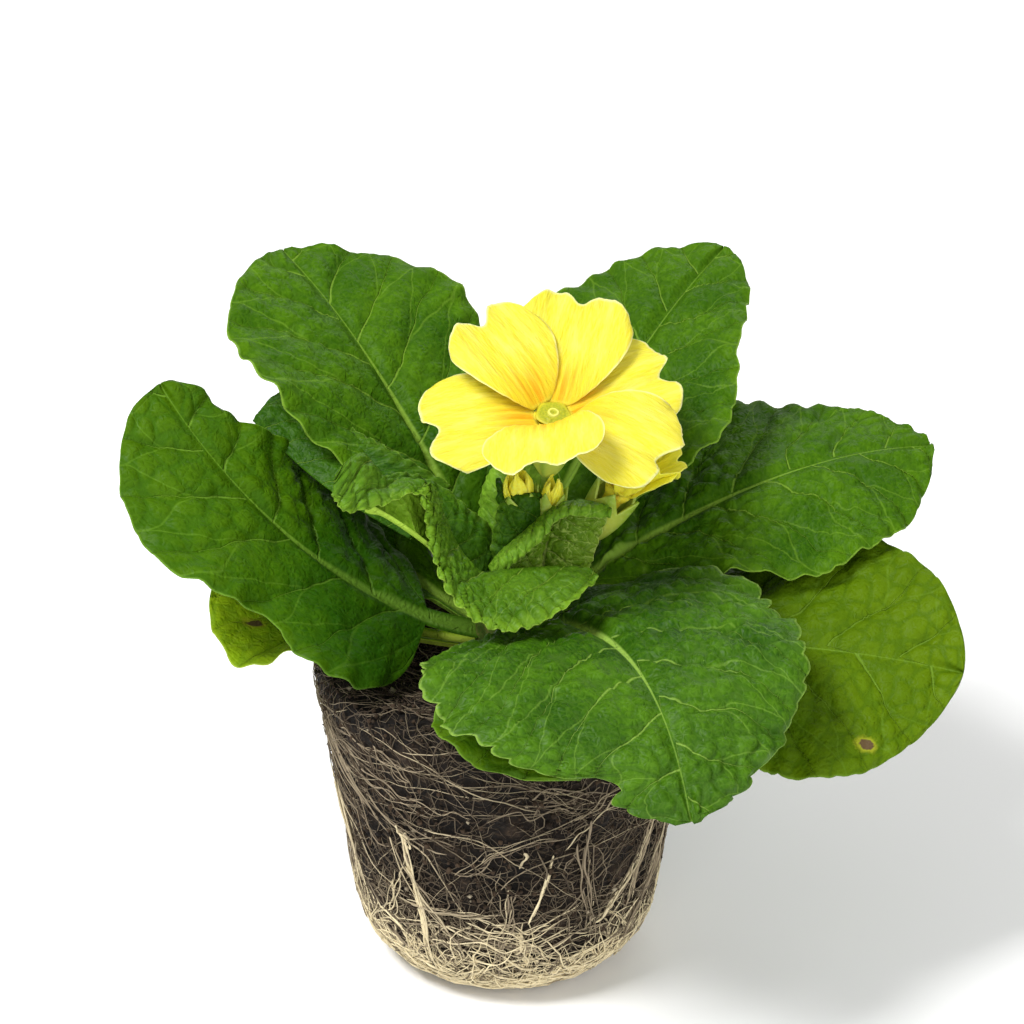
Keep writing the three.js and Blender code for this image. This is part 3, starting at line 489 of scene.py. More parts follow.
def noise(points, size, seed):
    """Smooth noise in -1..1, with lumps of about the given size."""
    scaled = points / size
    cell = np.floor(scaled).astype(np.int64)
    part = scaled - cell
    part = part * part * (3 - 2 * part)
    total = np.zeros(scaled.shape[:-1])
    for corner in range(8):
        offset = np.array([corner & 1, corner >> 1 & 1, corner >> 2 & 1])
        weight = np.prod(np.where(offset == 1, part, 1 - part), axis=-1)
        total += weight * hashed(cell + offset, seed)
    return total


def grid_normals(points):
    """Normals of a grid of points, along the rows crossed with along the columns."""
    return unit(np.cross(np.gradient(points, axis=0), np.gradient(points, axis=1)))


def offset_sheets(middle, *heights):
    """Grids of points at the given heights above a middle one."""
    normals = grid_normals(middle)
    return [middle + normals * height[..., None] for height in heights]


# A body is its points, its faces and its fields: a name with one number for each point, or one for all. The
# field FLAT has two numbers for each point, along and across the sheet before it bends.
def per_point(key, value, count):
    width = 2 if key == FLAT else 1
    return np.broadcast_to(np.reshape(value, (-1, width)), (count, width))


def joined(bodies):
    """One body from several with the same fields."""
    starts = np.cumsum([0] + [len(points) for points, _, _ in bodies])
    faces = np.vstack([faces + start for (_, faces, _), start in zip(bodies, starts)])
    fields = {key: np.concatenate([per_point(key, own[key], len(points)) for points, _, own in bodies])
              for key in bodies[0][2]}
    return np.vstack([points for points, _, _ in bodies]), faces, fields


def make_mesh(name, body, materials, face_materials=None):
    """A smooth mesh of a body in millimetres, whose faces all have the same count of corners."""
    points, faces, fields = body
    faces = np.asarray(faces, np.int32)
    count, corners = faces.shape
    mesh = bpy.data.meshes.new(name)
    mesh.vertices.add(len(points))
    mesh.vertices.foreach_set("co", (np.asarray(points, float) * MM).astype(np.float32).ravel())
    mesh.loops.add(count * corners)
    mesh.loops.foreach_set("vertex_index", faces.ravel())
    mesh.polygons.add(count)
    mesh.polygons.foreach_set("loop_start", np.arange(0, count * corners, corners, dtype=np.int32))
    if face_materials is not None:
        mesh.polygons.foreach_set("material_index", np.asarray(face_materials, np.int32))
    mesh.update(calc_edges=True)
    mesh.shade_smooth()
    for key, value in fields.items():
        values = per_point(key, value, len(points)).astype(np.float32)
        if key == FLAT:
            mesh.uv_layers.new(name=key).data.foreach_set("uv", values[faces.ravel()].ravel())
        else:
            mesh.attributes.new(key, "FLOAT", "POINT").data.foreach_set("value", values.ravel())
    mesh.validate()
    for material in materials:
        mesh.materials.append(material)
    piece = bpy.data.objects.new(name, mesh)
    bpy.context.scene.collection.objects.link(piece)
    return piece


def place(piece, slot, *nodes):
    """The piece rides on the body, takes a slot of the record, and stands for its nodes."""
    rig.ride(piece, "root")
    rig.slot(piece, slot)
    if nodes:
        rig.replaces(piece, *nodes)


def grid_faces(rows, columns, wrap=False):
    """Quads of a grid of rows by columns, facing along rows crossed with columns."""
    i, j = np.meshgrid(np.arange(rows - 1), np.arange(columns if wrap else columns - 1), indexing="ij")
    a = i * columns + j
    b = i * columns + (j + 1) % columns
    return np.stack([a, a + columns, b + columns, b], axis=-1).reshape(-1, 4)


def closed_sheet(upper, lower, fields):
    """The body of a thin closed solid between two grids. Its faces are the upper ones, as many lower ones and
    the edge, and both sides have the grid's fields."""
    rows, columns = upper.shape[:2]
    total = rows * columns
    side = grid_faces(rows, columns)
    rim = np.concatenate([
        np.arange(columns),
        np.arange(1, rows) * columns + columns - 1,
        (rows - 1) * columns + np.arange(columns - 2, -1, -1),
        np.arange(rows - 2, 0, -1) * columns,
    ])
    following = np.roll(rim, -1)
    edge = np.stack([rim, following, following + total, rim + total], axis=1)
    points = np.concatenate([upper.reshape(-1, 3), lower.reshape(-1, 3)])
    both = {key: np.concatenate([per_point(key, value, total)] * 2) for key, value in fields.items()}
    return points, np.concatenate([side, side[:, ::-1] + total, edge]), both


def through_rings(rings):
    """Points and faces of a form through rings of equal count."""
    rows, columns = rings.shape[:2]
    return rings.reshape(-1, 3), grid_faces(rows, columns, wrap=True)[:, ::-1]


def capped(rings):
    """The rings with a tiny one at each end, round the middle of the end ring."""
    rings = np.asarray(rings, float)
    shrunk = 0.02
    middles = rings[[0, -1]].mean(axis=1, keepdims=True)
    tiny = middles + (rings[[0, -1]] - middles) * shrunk
    return np.concatenate([tiny[:1], rings, tiny[1:]])


def distances(line):
    """How far each point of a line is from its start, along the line."""
    return np.concatenate([[0], np.cumsum(np.linalg.norm(np.diff(line, axis=0), axis=1))])


def even_points(line, count):
    """Points at even distances along a line."""
    steps = distances(line)
    at = np.linspace(0, steps[-1], count)
    return np.stack([np.interp(at, steps, column) for column in line.T], axis=1)


def lathe(profile, count, rows):
    """Rings of a turned form: the profile's (radius, height) points are joined by a smooth line."""
    line = even_points(np.array(profile, float), rows)
    for _ in range(2):
        line[1:-1] = (line[:-2] + 2 * line[1:-1] + line[2:]) / 4
    return polar(line[:, :1], full_turn(count), line[:, 1:])


def spline(points, count):
    """Centripetal Catmull-Rom points at even distances."""
    points = np.asarray(points, float)
    padded = np.vstack([2 * points[0] - points[1], points, 2 * points[-1] - points[-2]])
    steps = 40
    t = np.linspace(0, 1, steps, endpoint=False)[:, None]
    fine = []
    for k in range(len(points) - 1):
        p0, p1, p2, p3 = padded[k:k + 4]
        d0, d1, d2 = (np.sqrt(np.linalg.norm(b - a)) for a, b in ((p0, p1), (p1, p2), (p2, p3)))
        m1 = ((p1 - p0) / d0 - (p2 - p0) / (d0 + d1) + (p2 - p1) / d1) * d1
        m2 = ((p2 - p1) / d1 - (p3 - p1) / (d1 + d2) + (p3 - p2) / d2) * d1
        cubic = (2 * p1 - 2 * p2 + m1 + m2) * t ** 3
        fine.append(cubic + (-3 * p1 + 3 * p2 - 2 * m1 - m2) * t ** 2 + m1 * t + p1)
    return even_points(np.vstack(fine + [points[-1:]]), count)


def tubes(paths, radii, sides, outward):
    """Points and faces of many round tubes: paths and outward are (tube, step, xyz), radii (tube, step)."""
    count, steps = radii.shape
    tangent = unit(np.gradient(paths, axis=1))
    side = unit(np.cross(tangent, outward))
    up = np.cross(side, tangent)
    angle = 2 * np.pi * np.arange(sides) / sides
    ring = up[:, :, None] * np.cos(angle)[:, None] + side[:, :, None] * np.sin(angle)[:, None]
    points = paths[:, :, None] + ring * radii[:, :, None, None]
    faces = grid_faces(steps, sides, wrap=True)[None] + (np.arange(count) * steps * sides)[:, None, None]
    return points.reshape(-1, 3), faces.reshape(-1, 4)


def rod(path, radius, sides):
    """The body of a green stalk along a path, which mustn't run along the level direction used here."""
    outward = np.broadcast_to([0.6, -0.8, 0.0], (1, len(path), 3))
    points, faces = tubes(path[None], np.broadcast_to(radius, (1, len(path))), sides, outward)
    return points, faces, {"rib": 0, "rise": -1}


def rotation(axis, angle):
    c, s = math.cos(rad(angle)), math.sin(rad(angle))
    if axis == "X":
        return np.array([[1, 0, 0], [0, c, -s], [0, s, c]])
    return np.array([[c, 0, s], [0, 1, 0], [-s, 0, c]])


def stand(points, spec):
    """Points moved to where a flower or bud is: leaned about X, turned about Y and set on its centre."""
    turn = rotation("Y", spec["turn"]) @ rotation("X", spec["lean"])
    return points @ turn.T + spec["centre"]


# ---------- midrib and blade ----------
def midrib(spec, start, u):
    """The midrib's points, left directions and normals at u, from integrating heading and pitch."""
    steps = 60
    at = np.linspace(0, 1, steps + 1)
    heading, pitch, roll = (np.radians(through(spec[key], at)) for key in ("heading", "pitch", "roll"))
    along = polar(np.cos(pitch), heading, np.sin(pitch))
    level = xyz(-np.sin(heading), np.cos(heading), 0)
    up = np.cross(along, level)
    left = level * np.cos(roll)[:, None] + up * np.sin(roll)[:, None]
    normal = np.cross(along, left)
    moved = np.cumsum(along * spec["length"] / steps, axis=0)
    point = np.asarray(start) + np.vstack([np.zeros(3), moved[:-1]])
    wanted = np.clip(u, 0, 1)
    read = [np.stack([np.interp(wanted, at, values[:, k]) for k in range(3)], axis=-1)
            for values in (point, left, normal)]
    return read[0], unit(read[1]), unit(read[2])


def beside(spine, side, width, share, fold, curl, rise):
    """Points beside the midrib, on a half that is folded up and then curled along its width."""
    point, left, normal = spine
    straight = 1e-3
    bend = np.where(np.abs(curl) < straight, straight, curl)
    out = width * (np.sin(fold + bend * share) - np.sin(fold)) / bend
    lift = width * (np.cos(fold) - np.cos(fold + bend * share)) / bend + rise
    return point + left * (side * out)[..., None] + normal * lift[..., None]


def blade_share(leaf, u):
    """0 along the leaf's stalk, then 0 to 1 along its blade."""
    return np.clip((u - leaf["stalk"]) / (1 - leaf["stalk"]), 0, 1)


def rounded_teeth(count):
    """0 between two teeth, where count is a whole number, and 1 at their middles."""
    return np.abs(np.sin(np.pi * count)) ** 0.7


def leaf_half(leaf, side, u, s):
    """Half the blade's width, with broad lobes and small rounded teeth along its margin."""
    blade = blade_share(leaf, u)
    share = np.where(side > 0, leaf["left"], leaf["right"])
    shape = np.sin(np.pi * blade ** leaf["widest"]).clip(0) ** leaf["blunt"]
    place_at = xyz(s, side * 40 + leaf["seed"] * 90, 0)
    tooth = rounded_teeth(s / TOOTH["pitch"] + 0.6 * noise(place_at, 9, 3) + 0.3 * side)
    depth = 1.1 + 0.7 * noise(place_at, 5, 4)
    lobe = np.cos(2 * np.pi * s / leaf["spacing"] + 1.4 * side + 1.5 * noise(place_at, 14, 5))
    cut = leaf["teeth"] * depth * (1 - tooth) + 0.5 * leaf["lobe"] * (1 - lobe)
    cut = cut * smooth(blade, 0.02, 0.2) * leaf["width"] / TOOTH["for_width"]
    for cleft_side, cleft_at, cleft_span, cleft_depth in leaf["clefts"]:
        left_over = 1 - cleft_depth * bell(u - cleft_at, cleft_span)
        shape = shape * np.where(side == cleft_side, left_over, 1)
    ends = leaf["stalk_half"] * (1 - u ** 6) + leaf["tip_half"] * u ** 6
    return np.maximum(leaf["width"] / 2 * share * shape + ends - cut, leaf["least_half"])


def lateral_phase(s, t, spacing, seed):
    """Counts the side veins: a vein runs where this is a whole number."""
    place_at = xyz(s, t, 31 * seed)
    swerve = 1.6 * np.sin(0.19 * t + 0.9 + seed)
    bent = s + swerve + 1.5 * noise(place_at, 8, 51) + 0.6 * noise(place_at, 3, 52)
    reach = np.abs(t)
    start = bent - VEINS["slope"] * reach - VEINS["bow"] * reach ** 2
    return start / spacing + np.where(t > 0, 0.5, 0)


def cells(x, y, size, seed):
    """How far each point is from the border of its cell, in cell sizes: cells round scattered middles."""
    at = np.stack([x, y], axis=-1) / size
    home = np.floor(at).astype(np.int64)
    nearest = np.full(x.shape, 9.0)
    second = np.full(x.shape, 9.0)
    for i in (-1, 0, 1):
        for j in (-1, 0, 1):
            cell = home + [i, j]
            flat = np.concatenate([cell, np.zeros_like(cell[..., :1])], axis=-1)
            middle = cell + 0.5 + 0.42 * np.stack([hashed(flat, seed), hashed(flat, seed + 1)], axis=-1)
            far = np.linalg.norm(at - middle, axis=-1)
            second = np.minimum(second, np.maximum(nearest, far))
            nearest = np.minimum(nearest, far)
    return second - nearest


def leaf_relief(leaf, s, t, share, u):
    """How far the upper side rises between its veins, and the fields that its materials read."""
    blade = blade_share(leaf, u)
    size = leaf["spacing"] / VEINS["usual"]
    phase = lateral_phase(s, t, leaf["spacing"], leaf["seed"])
    spread = 0.5 * smooth(share, VEINS["fork_from"], VEINS["fork_to"])
    gap = [np.abs(p - np.round(p)) * leaf["spacing"] for p in (phase, phase + spread, phase - spread)]
    main = bell(gap[0], 0.8 * size) * (1 - 0.5 * share)
    fork = (bell(gap[1], 0.7 * size) + bell(gap[2], 0.7 * size)).clip(0, 1) * smooth(share, 0.3, 0.5)
    panel = RELIEF["panel"] * np.sin(np.pi * np.abs(phase % 1)).clip(0) ** 0.7
    place_at = xyz(s, t, leaf["seed"] * 50)
    bend_s, bend_t = (1.5 * noise(place_at, 3.5 * size, seed) for seed in (14, 15))
    dome = smooth(cells(s + bend_s, t + bend_t, leaf["cell"], 40 + leaf["seed"]), -0.05, 0.55)
    patchy = 0.65 + 0.5 * noise(place_at, 13, 16)
    pucker = RELIEF["pucker"] * noise(place_at, RELIEF["pucker_size"] * size, 12)
    pucker += RELIEF["swell"] * noise(place_at, RELIEF["swell_size"], 17)
    wrinkle = leaf["wrinkle"] * np.abs(noise(place_at, RELIEF["wrinkle_size"], 18))
    fade = smooth(share, 0.02, 0.12) * (1 - 0.6 * smooth(share, 0.88, 1)) * smooth(blade, 0, 0.1)
    quilt = leaf["dome"] * (1 + leaf["rougher"] * u) * dome * patchy
    sunk = RELIEF["vein"] * main + RELIEF["fork"] * fork
    relief = fade * (size * (panel + pucker - sunk) + quilt - wrinkle)
    furrow = (0.7 * size + 0.15) * bell(t, 1.2 * size) * (1 - 0.6 * u)
    bend = 2 * np.sign(t) + 2 * noise(place_at, 11 * size, 13)
    wavy = np.sin(2 * np.pi * s / (RELIEF["ripple_length"] * size) + bend)
    ripple = RELIEF["ripple"] * size * share ** 5 * wavy
    fields = {"share": share, "along": u, "dome": dome, "phase": phase}
    return relief - furrow + ripple * smooth(blade, 0, 0.1), fields


def blade_body(leaf, middle, s, t, share, u):
    """The body of a blade around its middle sheet, and which of its faces are its underside."""
    relief, fields = leaf_relief(leaf, s, t, share, u)
    fields[FLAT] = np.stack([s, t], axis=-1) / FLAT_UNIT
    if leaf["spot"]:
        spot_s, spot_t, reach = leaf["spot"]
        fields["spot"] = (1 - np.hypot((s - spot_s) / 1.5, t - spot_t) / reach).clip(0, 1)
    # Painted shade: a field that darkens the leaf towards its base.
    if leaf["painted_shade"]:
        ends, starts, amount = leaf["painted_shade"]
        fields["painted_shade"] = amount * (1 - smooth(u + 0.0035 * t, starts, ends))
    thick = leaf["thick"] * (1 - 0.6 * share ** 6)
    rib = leaf["rib"] * bell(t, leaf["rib_width"]) * (1 - 0.8 * u ** 2)
    upper, lower = offset_sheets(middle, relief + thick / 2, relief - thick / 2 - rib)
    body = closed_sheet(upper, lower, fields)
    a_side = (len(middle) - 1) * (middle.shape[1] - 1)
    return body, np.arange(len(body[1])) // a_side == 1


def blade_piece(name, leaf, blades, nodes):
    """One piece from blades that share their materials."""
    bodies, undersides = zip(*blades)
    piece = make_mesh(name + "_blade", joined(bodies), leaf_materials(leaf["look"], leaf["spacing"]),
                      np.concatenate(undersides))
    place(piece, leaf["slot"], *nodes)


def leaf_piece(name, spec):
    leaf = {**BLADE, **spec}
    rows, columns = leaf["grid"]
    start = polar(leaf["start"], rad(leaf["heading"][0]), leaf["height"])
    along = 1 - (1 - np.linspace(0, 1, rows)) ** leaf["tip_crowding"]
    u, across = np.meshgrid(along, np.linspace(-1, 1, columns + 1 - columns % 2), indexing="ij")
    share = np.abs(across)
    side = np.where(across < 0, -1.0, 1.0)
    s = u * leaf["length"]
    half = leaf_half(leaf, side, u, s)
    opened = smooth(u, 0, leaf["stalk"] + leaf["opened_by"])
    fold, curl = (
        np.radians(opened * np.where(side > 0, *(through(leaf[key + half_name], u)
                                                 for half_name in ("_left", "_right"))))
        for key in ("fold", "curl"))
    swing = 2 * np.pi * (leaf["waves"] * u + np.where(side > 0, leaf["wave_shift"], 0))
    rise = leaf["wave"] * share ** 2 * np.sin(swing) * np.sin(np.pi * blade_share(leaf, u))
    middle = beside(midrib(leaf, start, u), side, half, share, fold, curl, rise)
    blade_piece(name, leaf, [blade_body(leaf, middle, s, side * share * half, share, u)], [name])


# ---------- folded leaves, set out as they stand to the viewer ----------
def facing(points):
    """Points given as millimetres to the right, up and towards the viewer, seen from the front."""
    right, up, towards = np.moveaxis(np.asarray(points, float), -1, 0)
    lean = rad(VIEW["pitch"])
    x, y, z = VIEW["target"]
    return xyz(x + right, y + up * math.sin(lean) - towards * math.cos(lean),
               z + up * math.cos(lean) + towards * math.sin(lean))


def grid_distances(middle, axis):
    """How far each point of a grid is from its first row or column."""
    first = np.take(middle, [0], axis)
    return np.linalg.norm(np.diff(middle, axis=axis, prepend=first), axis=2).cumsum(axis=axis)


def patch_body(leaf, patch):
    """A blade through control points: rows along the leaf, each from its inner to its outer edge."""
    rows, columns = patch["grid"]
    lines = np.stack([spline(line, columns) for line in facing(patch["points"])])
    middle = np.stack([spline(lines[:, j], rows) for j in range(columns)], axis=1)
    along, across = (grid_distances(middle, axis) for axis in (0, 1))
    u, share = np.meshgrid(np.linspace(0, 1, rows), np.linspace(0, 1, columns), indexing="ij")
    place_at = xyz(along, across, 0)
    wavy = np.sin(2 * np.pi * along / leaf["crinkle_length"] + 3 * noise(place_at, 7, 61))
    crinkle = leaf["crinkle"] * share ** 2 * wavy
    tooth = rounded_teeth(along / TOOTH["folded_pitch"] + 0.7 * noise(place_at, 9, 62))
    margin = unit(np.gradient(middle, axis=1)[:, -1:])
    cut = leaf["teeth"] * share ** 4 * (1 - tooth)
    middle = offset_sheets(middle, crinkle)[0] - margin * cut[..., None]
    whole = {**leaf, "stalk": -0.2, **patch.get("leaf", {})}
    return blade_body(whole, middle, along, across + patch["from_rib"], share, u * patch["ageing"])


def folded_leaf_piece(name, spec):
    leaf = {**BLADE, "slot": "leaf_young", **spec}
    blades = [patch_body(leaf, patch) for patch in leaf["patches"]]
    blade_piece(name, leaf, blades, [name] if leaf["has_node"] else [])


# ---------- flowers ----------
def petal_body(flower, spec, seed):
    petal = {**PETAL, **spec}
    rows, columns = petal["grid"]
    foot = petal["lift"] * petal["claw_lift"]
    start = polar(flower["throat"] + petal["clear"], rad(petal["heading"]), foot)
    blade = {**petal, "heading": (petal["heading"],) * 3, "roll": (petal["roll"],) * 3}
    s, v = np.meshgrid(np.linspace(0, 1, rows), np.linspace(-1, 1, columns), indexing="ij")
    widening = np.sin(np.pi / 2 * s ** petal["widens"]) * (1 - petal["tip_taper"] * s ** 5)
    half = petal["claw"] + (petal["half"] - petal["claw"]) * widening
    place_at = xyz(s * 20, v * 12, 0)
    notch = petal["notch"] * bell(v, petal["notch_width"])
    edge = 0.022 * noise(xyz(v * 12, 0, 0), 2.6, seed)
    reach = 1 - notch - petal["shoulder"] * v ** 4 + edge
    lift = petal["lift"] * np.sin(np.pi / 2 * np.minimum(1, s / petal["lifted_by"]))
    ruffle = petal["ruffle"] * s ** 3 * np.sin(2.6 * np.pi * v + seed) * (petal["half"] / PETAL["half"])
    ruffle += petal["crumple"] * s ** 2 * noise(place_at, 6, seed + 1)
    groove = -petal["groove"] * s * bell(v, 0.13) - petal["side_groove"] * s * bell(np.abs(v) - 0.5, 0.12)
    rise = lift + ruffle + groove
    fold, curl = (np.radians(through(petal[key], s)) for key in ("fold", "curl"))
    side = np.where(v < 0, -1.0, 1.0)
    middle = beside(midrib(blade, start, s * reach), side, half, np.abs(v), fold, curl, rise)
    streak = petal["streak"] * np.sin(v * half * 3.4 + 2.5 * noise(place_at, 5, seed + 2)) * smooth(s, 0, 0.2)
    rim = np.maximum(s, np.abs(v))
    thick = petal["thick"] - petal["rim_thinner"] * rim ** 6
    flat = np.stack([s * reach * petal["length"], v * half], axis=-1) / FLAT_UNIT
    fields = {FLAT: flat, "rim": rim, "along": s, "young": flower["young"]}
    return closed_sheet(*offset_sheets(middle, streak + thick / 2, streak - thick / 2), fields)


def tube_body(flower, seed):
    """The tube that carries the petals, with a crumpled rim round the throat."""
    r, wall, cup = flower["throat"], THROAT["wall"], THROAT["cup_depth"]
    tube = lathe([
        (POLE, -flower["tube_length"]), (flower["tube_radius"], -flower["tube_length"]),
        (flower["tube_radius"] * THROAT["flare"], -THROAT["flare_below"]), (r - wall / 2, -cup * 1.5),
        (r + THROAT["rim_out"], -wall), (r + THROAT["rim_out"] - wall / 2, THROAT["rim_up"]),
        (r, THROAT["rim_up"]), (r - wall, -cup), (POLE, -cup)], *THROAT["grid"])
    height = smooth(tube[..., 2], -0.8, 0.6)
    angle = np.arctan2(tube[..., 1], tube[..., 0])
    crumple = noise(polar(3, angle, 0), 0.9, seed)
    tube[..., 2] += height * (0.35 * crumple + 0.25 * np.cos(len(flower["petals"]) * angle))
    tube[..., :2] *= (1 + 0.05 * height * crumple)[..., None]
    points, faces = through_rings(tube)
    flat = np.stack([0 * points[:, 0], points[:, 0]], axis=1) / FLAT_UNIT
    return points, faces, {FLAT: flat, "rim": 0, "along": 0.02, "young": flower["young"]}


def corolla(name, flower, seed):
    """The petals with their tube, in one mesh."""
    bodies = [petal_body(flower, spec, seed + 5 * i) for i, spec in enumerate(flower["petals"])]
    points, faces, fields = joined(bodies + [tube_body(flower, seed)])
    piece = make_mesh(name + "_petals", (stand(points, flower), faces, fields), [petal_material()])
    place(piece, "petal", name)


def eye(name, flower, seed):
    """The green disc that closes the throat, with the ring of the style in its middle."""
    wide, top, knob = EYE["radius"], EYE["top"], EYE["knob"]
    inside = flower["throat"] - THROAT["wall"] - GAP
    floor_at = GAP - THROAT["cup_depth"]
    crest = top + EYE["knob_rise"]
    rings = lathe([
        (POLE, floor_at), (inside * 0.8, floor_at), (inside * 0.9, top - 0.6), (wide, top - 0.5),
        (wide * 1.02, top - 0.25), (wide * 0.9, top - 0.02), (knob * 1.6, top + 0.1),
        (knob * 1.15, top + 0.1), (knob, crest - 0.1), (knob * 0.8, crest), (knob * 0.55, crest - 0.15),
        (POLE, crest - 0.3)], *EYE["grid"])
    rings = rings + 0.12 * grid_normals(rings) * noise(rings, 0.7, seed)[..., None]
    angle = np.arctan2(rings[..., 1], rings[..., 0])
    out = np.hypot(rings[..., 0], rings[..., 1])
    rings[..., :2] *= (1 + 0.05 * (out / wide) ** 2 * np.cos(5 * angle + 1))[..., None]
    points, faces = through_rings(rings)
    out = np.hypot(points[:, 0], points[:, 1])
    fields = {"ring": bell(out - 0.85 * knob, 0.24), "out": out / wide}
    place(make_mesh(name + "_disc", (stand(points, flower), faces, fields), [eye_material()]), "eye", name)


def calyx(flower):
    """A ribbed cup with pointed teeth, standing in the flower's frame, and the height of its foot."""
    angle = full_turn(CALYX["sides"])
    phase = (CALYX["lobes"] * angle / (2 * np.pi)) % 1 * 2 - 1
    point = 1 - np.abs(phase)
    sharp = bell(phase, 0.3)
    foot = -flower["tube_length"] - CALYX["below_tube"]

    def ring(share, inset):
        bulge = math.sin(math.pi * 0.9 * share) * CALYX["bulge"]
        radius = CALYX["foot"] + (CALYX["mouth"] - CALYX["foot"]) * share + bulge - inset
        radius = radius + CALYX["rib"] * (1.6 * sharp - 0.3) * math.sin(math.pi * (0.1 + 0.6 * share))
        height = CALYX["length"] - CALYX["tooth"] + CALYX["tooth"] * point * share
        return polar(radius, angle, foot + share * height)

    up, down = CALYX["rings"]
    rings = [ring(share, 0) for share in np.linspace(0, 1, up)]
    rings += [ring(share, CALYX["wall"]) for share in np.linspace(1, CALYX["hollow_to"], down)]
    rings += [polar(flower["tube_radius"] + GAP, angle, -flower["tube_length"] - GAP)]
    rings = capped(rings)
    points, faces = through_rings(rings)
    rise = smooth(points[:, 2], foot, foot + CALYX["length"])
    return (stand(points, flower), faces, {"rib": np.tile(sharp, len(rings)), "rise": rise}), foot


def stalk_foot(compass):
    return polar(STALK["foot_spread"], rad(compass), STALK["foot_height"])


def flower_stalk(name, flower, foot):
    cup, cup_foot = calyx(flower)
    ends = cup_foot + np.array([STALK["sunk"], -STALK["neck_below"]])
    top, below = stand(xyz(0, 0, ends), flower)
    path = spline([foot, foot + [0, 0, STALK["foot_rise"]], below, top], STALK["steps"])
    radius = STALK["radius"] * (1 + 0.25 * smooth(np.linspace(0, 1, STALK["steps"]), 0.93, 1))
    piece = make_mesh(name + "_cup", joined([cup, rod(path, radius, STALK["sides"])]), [calyx_material()])
    place(piece, "calyx", name)


# ---------- buds ----------
def bud_petals(name, bud):
    """Petals rolled round each other, each with a pointed tip of its own."""
    rows, columns = BUD["grid"]
    share, across = np.meshgrid(np.linspace(0, 1, rows), np.linspace(-1, 1, columns), indexing="ij")
    bodies = []
    for i in range(bud["petals"]):
        inner = i % 2
        wide = 1.15 * np.sin(np.pi * np.minimum(1, share ** 0.8 * 0.5 + 0.22)) * (1 - share ** 5)
        angle = 2 * np.pi * i / bud["petals"] + 0.35 * i + BUD["twist"] * 0.5 * share + across * wide
        swell = np.interp(share, *np.array(BUD["outline"]).T)
        radius = bud["radius"] * swell * (1 - 0.16 * inner) * (1 - 0.10 * across ** 2 + 0.12 * across)
        height = bud["length"] * share * (1 + 0.12 * inner) - 0.9 * share * across ** 2
        sheet = polar(radius + bud["open"] * share ** 3, angle, height)
        ruffle = 0.14 * noise(xyz(8 * across, 8 * share, 9 * i), 1.2, 71) + 0.12 * np.cos(9 * across)
        sides = offset_sheets(sheet, ruffle + BUD["half_thick"], ruffle - BUD["half_thick"])
        bodies.append(closed_sheet(*sides, {"lap": np.abs(across), "along": share}))
    points, faces, fields = joined(bodies)
    piece = make_mesh(name + "_petals", (stand(points, bud), faces, fields), [bud_material()])
    place(piece, "bud", name)


def bud_cup(bud):
    """A small ribbed cup with five teeth, standing in the bud's frame."""
    angle = full_turn(BUD["sides"])
    phase = (5 * angle / (2 * np.pi) - 1 / 3 + 0.5) % 1 * 2 - 1
    tooth = (1 - np.abs(phase)) ** 1.3
    sharp = bell(phase, 0.3)
    inside = bud["radius"] * (1 + BUD["fold_depth"]) + GAP
    outside = inside + BUD["wall"]
    foot, rib = BUD["foot"], BUD["rib"]

    def ring(z, radius, point, rib):
        return polar(radius + rib * (sharp - 0.4), angle, z + point * tooth)

    # Rows of height, radius and how far the teeth stand up.
    outer = np.array([(foot, BUD["stalk_radius"] * 1.2, 0), (-2, outside * 0.8, 0), (0.5, outside * 0.95, 0),
                      (3, outside, 0.8), (4.6, outside, BUD["tooth"] * 1.2)])
    heights = np.linspace(outer[0, 0], outer[-1, 0], BUD["rings"])
    rings = [ring(z, *(np.interp(z, outer[:, 0], outer[:, k]) for k in (1, 2)), rib) for z in heights]
    rings += [ring(4.5, inside, BUD["tooth"] * 1.1, rib), ring(2.5, inside, 0, 0),
              ring(-GAP, inside * 0.7, 0, 0)]
    rings = capped(rings)
    points, faces = through_rings(rings)
    fields = {"rib": np.tile(sharp, len(rings)), "rise": smooth(points[:, 2], foot, 7)}
    return stand(points, bud), faces, fields


def bud_greens(name):
    """The buds' cups and stalks."""
    bodies = []
    for i, bud in enumerate(BUDS):
        top = stand(np.array([0, 0, -BUD["sunk"]]), bud)
        foot = stalk_foot(BUD["first_foot"] + STALK["foot_step"] * i)
        path = spline([foot, (foot + top) / 2, top], BUD["stalk_steps"])
        bodies += [bud_cup(bud), rod(path, BUD["stalk_radius"], BUD["stalk_sides"])]
    place(make_mesh(name + "_cups", joined(bodies), [calyx_material()]), "calyx", name)


# ---------- crown and root ball ----------
def crown(name):
    radius, foot, shoulder, top = (CROWN[key] for key in ("radius", "foot", "shoulder", "top"))
    rings = lathe([
        (POLE, foot), (radius * 0.7, foot), (radius, foot + CROWN["foot_bevel"]), (radius, shoulder),
        (radius * 0.8, (shoulder + top) / 2), (radius * 0.4, top), (POLE, top)], *CROWN["grid"])
    angle = np.arctan2(rings[..., 1], rings[..., 0])
    height = smooth(rings[..., 2], 70, 80) * (1 - smooth(rings[..., 2], 86, 90))
    scale = 0.35 * np.abs(np.sin(4.5 * angle + rings[..., 2] * 0.35)) * height
    rings[..., :2] *= (1 - scale * 0.12)[..., None]
    place(make_mesh(name, (*through_rings(rings), {"scale": scale}), [crown_material()]), "crown", "crown")


def ball_wall(z):
    """The root ball's radius at a height: a tapering wall with a round lower edge."""
    wall = BALL["foot"] + (BALL["top"] - BALL["foot"]) * z / BALL["height"]
    rise = np.clip((BALL["edge"] - z) / BALL["edge"], 0, 1)
    return wall - BALL["edge"] * (1 - np.sqrt(1 - rise ** 2))


